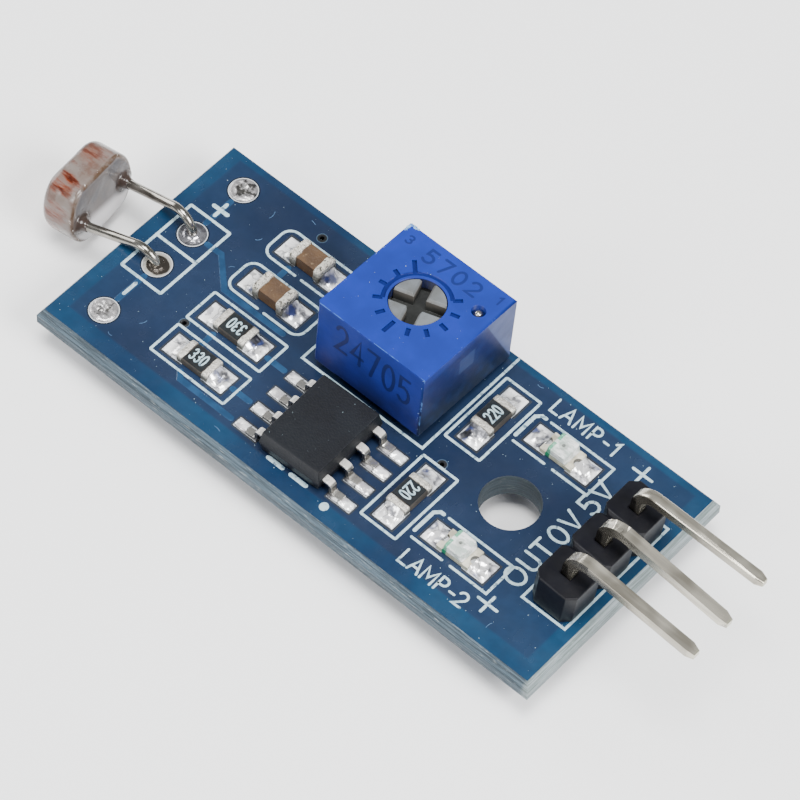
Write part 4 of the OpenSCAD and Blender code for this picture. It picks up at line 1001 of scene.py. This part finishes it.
def end_fillets():
    """Solder on the chip parts' ends. u runs from the end face out to the pad's rim, v across it, c is how
    crumpled it is and w is random. The height is rise (1 - u)^(3.4 - 0.8 c + 0.4 w) (1 - 0.3 v^2) + 0.05,
    plus a bead 0.065 exp(-((u - 0.7 - 0.06 w) / 0.17)^2) (1 - v^2)^0.7 min(1, c + 0.2) and c times lumps of a
    few sines, all times a skirt (1 - |v|^8) min(1, 12 (1 - u))^0.5 that drops to the board."""
    heap = Heap()
    rng = np.random.default_rng(SEED)
    u = np.linspace(0, 1, 30)[:, None]
    v = np.linspace(-1, 1, 25)[None, :]
    skirt = (1 - np.abs(v) ** 8) * np.minimum(1, (1 - u) * 12) ** 0.5
    for place, turn, rise, *creases in CHIP_PARTS:
        for flip, crease in zip((0, 180), creases):
            w = rng.uniform(-1, 1, 8)
            half = 0.635 - 0.05 * crease * np.sin(math.pi * u) ** 2 + 0.015 * np.sin(9 * u + 3 * w[3])
            body = rise * (1 - u) ** (3.4 - 0.8 * crease + 0.4 * w[1]) * (1 - 0.3 * v**2) + 0.05
            bead = 0.065 * np.exp(-(((u - 0.7 - 0.06 * w[2]) / 0.17) ** 2)) * (1 - v**2) ** 0.7
            lumps = (
                0.030 * np.sin(7 * u + 4 * v * w[1] + 5 * w[0]) * np.sin(4.5 * v + 6 * w[2])
                + 0.012 * np.sin(13 * u + 6 * v + 6 * w[4]) * np.sin(9 * v * w[5] + 7 * u)
            ) * crease
            z = BOARD_T + (body + bead * min(1.0, crease + 0.2) + lumps * (1 - v**4)) * skirt
            slab(heap, 1.0 + u * (1.01 + 0.01 * w[0]), half * v, z, place, turn + flip)
    heap.make("end_fillets", "fillet_solder", "solder", replaces=("solder_chip_parts",))


def chip_joints():
    """Solder at the chip's eight feet. x runs out from the chip's middle, from the heel at 2.28 past the toe
    at 3.02, u with it from 0 to 1, and v across. The ridge is 0.07 + 0.1 ((x - 2.28) / 0.74)^2 under the foot
    and 0.1 + 0.07 exp(-(x - 3.02) / 0.15) beyond it. Across, it is a dome (1 - |v|^3)^0.6 with small lumps of
    sines, and both ends drop by the square root of 14 u or 7 (1 - u)."""
    heap = Heap()
    rng = np.random.default_rng(SEED + 7)
    u = np.linspace(0, 1, 26)[:, None]
    v = np.linspace(-1, 1, 15)[None, :]
    heel, toe = 2.28, 3.02
    x = heel + 1.6 * u
    under_foot = 0.07 + 0.10 * ((x - heel) / 0.74) ** 2
    ridge = np.where(x < toe, under_foot, 0.1 + 0.07 * np.exp(-np.maximum(0, x - toe) / 0.15))
    ends = np.minimum(1, np.minimum(u * 14, (1 - u) * 7)) ** 0.5
    half = 0.285 - 0.09 * (1 - ends)
    for turn in (0, 180):
        for row in range(4):
            w = rng.uniform(-1, 1, 6)
            lumps = 0.014 * np.sin(11 * u + 5 * w[0]) * np.sin(3 * v + 4 * w[1])
            lumps = lumps + 0.01 * np.sin(24 * u + 7 * v * w[2])
            z = BOARD_T + (ridge * (1 - np.abs(v) ** 3) ** 0.6 + lumps * (1 - v**4)) * ends
            slab(heap, x, half * v + (row - 1.5) * CHIP_PITCH, z, CHIP_PLACE, turn)
    heap.make("chip_joints", "foot_solder", "solder", replaces=("solder_chip",))


# The band's stations from its inner edge to the end face: share of its length, inset, 1 where grainy
CAP_PROFILE = (
    (0.0, 0.3, 0), (0.0, 0.005, 0), (0.03, -0.028, 0), (0.1, -0.045, 1), (0.3, -0.05, 1), (0.6, -0.05, 1),
    (0.85, -0.04, 1), (0.95, -0.012, 1), (1.0, 0.05, 1), (1.02, 0.18, 1), (1.02, 0.4, 1), (1.02, 0.6, 0),
)
CAP_HALF_W, CAP_HALF_H = 0.625, 0.425


def end_caps(name, parts, half_h, band_l, swell, seed, material, replaces):
    """Crusty end plating. Round each end the section is a rounded rectangle, the p-norm, p = 7, of its half
    width and half height, swollen by up to 0.05 x swell along the band, with a grain of two sines."""
    rng = np.random.default_rng(seed)
    heap = Heap()
    a = np.linspace(0, 2 * math.pi, 56, endpoint=False)
    for place, turn, *_ in parts:
        for side in (-1, 1):
            w = rng.uniform(0, 6, 2)
            band = band_l + 0.02 * np.sin(2 * a + w[0]) + 0.012 * np.sin(5 * a + w[1])
            rings = []
            for t, inset, grainy in CAP_PROFILE:
                inset = inset * swell if inset < 0 else inset
                hy = max(CAP_HALF_W - inset, 0.02)
                hz = max(half_h - inset * (half_h / CAP_HALF_H if inset > 0.1 else 1.0), 0.02)
                r = (np.abs(np.cos(a) / hy) ** 7 + np.abs(np.sin(a) / hz) ** 7) ** (-1 / 7)
                r = r + grainy * 0.01 * swell * (np.sin(17 * a + 23 * t) + np.sin(29 * a - 31 * t + 2))
                x, y = placed(side * (1.03 - band * (1 - t)), r * np.cos(a), place, turn)
                z = (r * np.sin(a)).clip(0.005 - half_h, half_h + 0.03)
                rings.append(np.stack([x, y, BOARD_T + half_h + 0.005 + z], 1))
            heap.add(*shell(rings), flip=side > 0)
    heap.make(name, material, "end_plating", replaces=replaces)


def round_fills():
    """Solder in the two bare round holes: a skin on either face and the plug between them. Over k, the share
    of the 0.75 radius, the skin's height is 0.05 + 0.055 sin^2(pi k / 1.4) up to k = 0.7, then 0.105 times
    the square root of 1 - ((k - 0.7) / 0.3)^2. The upper one has ripples of two sines in its middle."""
    heap = Heap()
    rng = np.random.default_rng(SEED + 5)
    k = np.linspace(0, 1, 15)
    lift = 0.05 + 0.055 * np.sin(np.minimum(k / 0.7, 1) * math.pi / 2) ** 2
    lift = np.where(k > 0.7, 0.105 * np.sqrt(np.maximum(0, 1 - ((k - 0.7) / 0.3) ** 2)), lift)
    skin = np.stack([0.75 * k, lift], 1)
    for x, y in ROUND_PADS:
        w = rng.uniform(0, 6, 4)

        def ripple(angle, radius):
            inner = np.minimum(1, np.maximum(0, (0.7 - radius) / 0.2)) * np.minimum(1, radius / 0.1)
            wide = 0.02 * np.sin(3 * angle + w[0] + 9 * radius)
            return inner * (wide + 0.012 * np.sin(7 * angle + w[1] - 17 * radius))

        top = turned(skin, (x, y, BOARD_T), wobble=ripple)
        waist = turned([(0.45, BOARD_T - 0.01), (0.45, 0.01)], (x, y, 0.0))
        low = turned(skin[::-1] * (1, -1), (x, y, 0.0))
        heap.add(*shell(np.concatenate([top, waist, low])), flip=True)
    heap.make("round_fills", "pad_solder", "solder", replaces=("solder_round_pads",))


# Resin, case and dust


def sensor_shell():
    """The resin over the disc. Round the outline the radius is the p-norm, p = 14, of the circle and the two
    flats, less two small sines; each shoulder is a quarter circle. A foot of resin climbs each wire, its
    radius 0.262 + 0.4 exp(-h / 0.16) at the height h."""
    a = np.linspace(0, 2 * math.pi, 120, endpoint=False)
    outline = ((1 / 2.55) ** 14 + (np.abs(np.sin(a)) / 2.0) ** 14) ** (-1 / 14)
    outline = outline - 0.012 * (1 + np.sin(5 * a + 1.0)) - 0.006 * (1 + np.sin(11 * a))
    thick, back, front = 2.1, 0.26, 0.5
    profile = [(k, 0.0, -0.02 * (1 - k) ** 2) for k in (0.0, 0.25, 0.5, 0.75, 0.92)]
    for f in np.linspace(0, math.pi / 2, 8):
        profile.append((1.0, back * (1 - math.sin(f)), -back * (1 - math.cos(f))))
    for f in np.linspace(0.15, 0.85, 6):
        profile.append((1.0, 0.0, -back - f * (thick - back - front)))
    for f in np.linspace(0, math.pi / 2, 9):
        profile.append((1.0, front * (1 - math.cos(f)), -(thick - front) - front * math.sin(f)))
    profile += [(k, 0.0, -thick) for k in (0.9, 0.7, 0.45, 0.2, 0.0)]
    middle = DISC_MID + HOLE
    rings = []
    for k, inset, out in profile:
        edge = back if out > -0.5 else front
        r = outline - inset if k == 1.0 else (outline - edge) * k
        around = (r * np.cos(a))[:, None] * DISC_ACROSS + (r * np.sin(a))[:, None] * DISC_UP
        rings.append(middle + out * DISC_OUT + around)
    heap = Heap()
    heap.add(*shell(rings), flip=True)
    climb = np.linspace(0.0, 0.48, 12)
    h = np.concatenate([[-0.3, -0.3], climb, [0.5, 0.5]])
    r = np.concatenate([[0.0, 0.66], 0.262 + 0.4 * np.exp(-climb / 0.16), [0.255, 0.0]])
    for side in (-1, 1):

        def lean(angle, radius):
            return 0.03 * np.sin(angle * 2 + side) * (radius > 0.4) * (radius < 0.65)

        centre = middle + side * WIRE_ACROSS * DISC_ACROSS - WIRE_DOWN * DISC_UP
        heap.add(*shell(turned(np.stack([r, h], 1), centre, DISC_OUT, 28, lean)))
    heap.make("sensor_resin", "clear_resin", "clear_resin", replaces=("sensor_coat",))


def case_digits():
    """Plain numbers sunk in the trimmer's side and roof, drawn as strokes of painted shade in the case's own
    millimetres.
    """
    front, roof, heap = Heap(), Heap(), Heap()
    for k, digit in enumerate("24705"):
        write(front, digit, (-2.15 + 1.03 * k, 4.05 - 0.1 * k), 1.85, 0.23, 0.0, 0.004, wide=0.62)
    for k, digit in enumerate("5702"):
        write(roof, digit, (-1.65 + 0.95 * k, 2.1), 0.85, 0.16, 0.0, 0.004, wide=1.1)
    for digit, start in (("3", (-3.0, 2.4)), ("1", (2.72, 2.6))):
        write(roof, digit, start, 0.5, 0.11, 0.0, 0.004, wide=1.2)
    points, blocks = front.out()
    heap.add(on_case(np.stack([points[:, 0], -3.449 - points[:, 2], points[:, 1]], 1)), blocks)
    points, blocks = roof.out()
    heap.add(on_case(points + (0.0, 0.0, CASE_TOP)), blocks)
    heap.make("case_digits", "cut_digit", "trimmer_case", smooth=False)


def case_flash():
    """Crumbs of flash along the roof's edges, thickest at the back corner: chips with six random radii."""
    rng = np.random.default_rng(SEED + 9)
    rows = (
        (-3.42 + 0.6 * rng.random(30) ** 1.5, 3.42, CASE_TOP),
        (-3.43, 3.42 - 0.5 * rng.random(20) ** 1.5, CASE_TOP),
        (rng.uniform(-3.4, 3.4, 22), 3.43, 6.47),
        (-CASE_HALF, rng.uniform(-3.4, 3.4, 20), 6.47),
        (3.43, rng.uniform(-3.4, 3.4, 16), 6.46),
        (rng.uniform(3.3, CASE_HALF, 14), -CASE_HALF, rng.uniform(2.2, 6.4, 14)),
    )
    places = np.concatenate([np.stack(np.broadcast_arrays(*row), 1) for row in rows])
    sizes = np.concatenate([rng.uniform(0.06, 0.15, 50), rng.uniform(0.02, 0.05, 72)])
    chip = np.array([[1, 0, 0], [0, 1, 0], [-1, 0, 0], [0, -1, 0], [0, 0, 1], [0, 0, -1]], float)
    faces = np.array([[0, 1, 4], [1, 2, 4], [2, 3, 4], [3, 0, 4], [1, 0, 5], [2, 1, 5], [3, 2, 5], [0, 3, 5]])
    reach = sizes[:, None, None] * rng.uniform(0.4, 1.0, (len(places), len(chip), 1)) * (1, 1, 0.8)
    heap = Heap()
    heap.scatter(on_case(places[:, None] + chip * reach), faces)
    heap.make("case_flash", "flash", "trimmer_case", smooth=False)


# Short fibres on the mask: start, heading and length
LINT = (
    (-11.6, 4.9, 70, 0.5), (-11.2, 3.4, 20, 0.35), (-9.6, 6.2, 160, 0.3), (-11.9, -4.4, 40, 0.4),
    (-4.9, -6.4, 10, 0.4), (5.2, 6.4, -30, 0.35), (12.6, -6.1, 100, 0.4), (-12.4, -5.9, 200, 0.3),
    (-4.1, 0.9, 115, 0.35), (-11.0, 1.2, 80, 0.3),
)

# Where dust lies: x, y, height and number of grains, on the board, the chip and the trimmer's roof
DUSTY = (
    ((-15.8, 15.8), (-6.8, 6.8), BOARD_T, 480),
    ((-2.2, 1.1), (-5.7, -1.3), BOARD_T + 1.6, 12),
    ((-3.3, 3.3), (-3.3, 2.8), CASE_TOP, 24),
)
CLEAR_OF_HOLE = 1.7


def lint():
    """A little short lint on the mask: each fibre is a line whose heading turns evenly along its length."""
    heap = Heap()
    t = np.linspace(0, 1, 7)
    for x, y, turn, length in LINT:
        a = math.radians(turn) + 0.6 * t * math.sin(turn)
        path = np.stack([x + length * t * np.cos(a), y + length * t * np.sin(a)], 1)
        stroke(heap, path, 0.024, BOARD_T - 0.001, 0.004)
    heap.make("lint", "lint", "solder_mask", smooth=False)


def dust():
    """Fine pale dust on the upper faces: each grain is a pyramid on three corners at uneven angles."""
    rng = np.random.default_rng(SEED + 1)
    heap = Heap()
    faces = np.array([[0, 2, 1], [0, 1, 3], [1, 2, 3], [2, 0, 3]])
    for x, y, z, count in DUSTY:
        centre = np.stack([rng.uniform(*x, count), rng.uniform(*y, count), np.full(count, z)], 1)
        if z == CASE_TOP:
            centre = on_case(centre)
        else:
            centre = centre[np.hypot(*(centre - HOLE)[:, :2].T) > CLEAR_OF_HOLE]
        r = (0.012 + 0.03 * rng.random(len(centre)) ** 3.5)[:, None]
        angle = rng.uniform(0, 2 * math.pi, len(centre))[:, None] + np.array([0.0, 2.1, 4.2])
        foot = np.stack([r * np.cos(angle), r * np.sin(angle), np.full_like(angle, -0.002)], -1)
        tip = np.stack([0 * r, 0 * r, 0.7 * r], -1)
        heap.scatter(centre[:, None] + np.concatenate([foot, tip], 1), faces)
    heap.make("dust", "legend", "solder_mask", smooth=False)


# Studio

LIT_POINT = np.array([-0.006, 0.0, 0.002])

# Each soft light: name, place in metres, size in metres and watts
LIGHTS = (
    ("top_light", (0.03, -0.04, 0.5), 0.22, 3.7),
    ("side_light", (0.4, 0.0, 0.35), 0.25, 4.3),
    ("front_light", (-0.1, -0.4, 0.3), 0.22, 1.6),
    ("left_light", (-0.45, 0.02, 0.14), 0.3, 1.8),
)
TABLE_HALF = 1.5
SENSOR_MM = 36.0
PHOTO_PX = 800


def floor():
    """A plain pale table top."""
    s = Shade("pale_table")
    material = s.finish(s.mix("#f4f4f4", (s.noise(0.02, 2.0), "#f8f8f8")), 0.8)
    mesh = bpy.data.meshes.new("table")
    corners = ((-1, -1), (1, -1), (1, 1), (-1, 1))
    points = [(x * TABLE_HALF, y * TABLE_HALF, FLOOR_Z * MM) for x, y in corners]
    mesh.from_pydata(points, [], [(0, 1, 2, 3)])
    mesh.materials.append(material)
    table = bpy.data.objects.new("table", mesh)
    bpy.context.scene.collection.objects.link(table)


def studio():
    """A dim sky and the soft lights, square and turned to the board."""
    world = bpy.data.worlds.new("studio")
    world.use_nodes = True
    back = world.node_tree.nodes["Background"]
    back.inputs["Color"].default_value = (0.92, 0.96, 1.0, 1.0)
    back.inputs["Strength"].default_value = 0.3
    bpy.context.scene.world = world
    for name, place, size, watts in LIGHTS:
        data = bpy.data.lights.new(name, "AREA")
        data.shape = "SQUARE"
        data.size = size
        data.energy = watts
        light = bpy.data.objects.new(name, data)
        light.location = place
        light.rotation_euler = Vector((place - LIT_POINT).tolist()).to_track_quat("Z", "Y").to_euler()
        bpy.context.scene.collection.objects.link(light)


def camera():
    """The photograph's view: azimuth, elevation and roll in degrees, distance and shifts in millimetres."""
    azimuth, elevation, roll = (math.radians(v) for v in (38.754, 55.4394, 3.4209))
    distance, focal_px, shift_x, shift_y = 217.4231, 4351.9, -1.3052, -1.0771
    flat = math.cos(elevation)
    back = np.array([math.sin(azimuth) * flat, -math.cos(azimuth) * flat, math.sin(elevation)])
    right = np.array([math.cos(azimuth), math.sin(azimuth), 0.0])
    up = np.cross(back, right)
    x = math.cos(roll) * right + math.sin(roll) * up
    y = -math.sin(roll) * right + math.cos(roll) * up
    place = to_row(-shift_x * x - shift_y * y + distance * back)
    data = bpy.data.cameras.new("camera")
    data.sensor_width = SENSOR_MM
    data.lens = focal_px / PHOTO_PX * SENSOR_MM
    data.clip_start = 0.005
    view = bpy.data.objects.new("camera", data)
    turn = np.eye(4)
    turn[:3] = np.stack([x, y, back, place], 1)
    view.matrix_world = Matrix(turn.tolist())
    bpy.context.scene.collection.objects.link(view)
    bpy.context.scene.camera = view


dress()
soften()
legend()
tracks()
part_numbers()
pad_margins()
end_fillets()
chip_joints()
end_caps(
    "resistor_caps", CHIP_PARTS[:4], 0.25, 0.36, 0.45, SEED + 4, "low_end_plating",
    tuple("resistor_%d_ends" % n for n in (1, 2, 3, 4)),
)
end_caps(
    "capacitor_caps", CHIP_PARTS[4:6], CAP_HALF_H, 0.43, 1.0, SEED + 3, "end_plating",
    ("capacitor_1_ends", "capacitor_2_ends"),
)
sensor_shell()
round_fills()
case_digits()
case_flash()
lint()
dust()
floor()
studio()
camera()
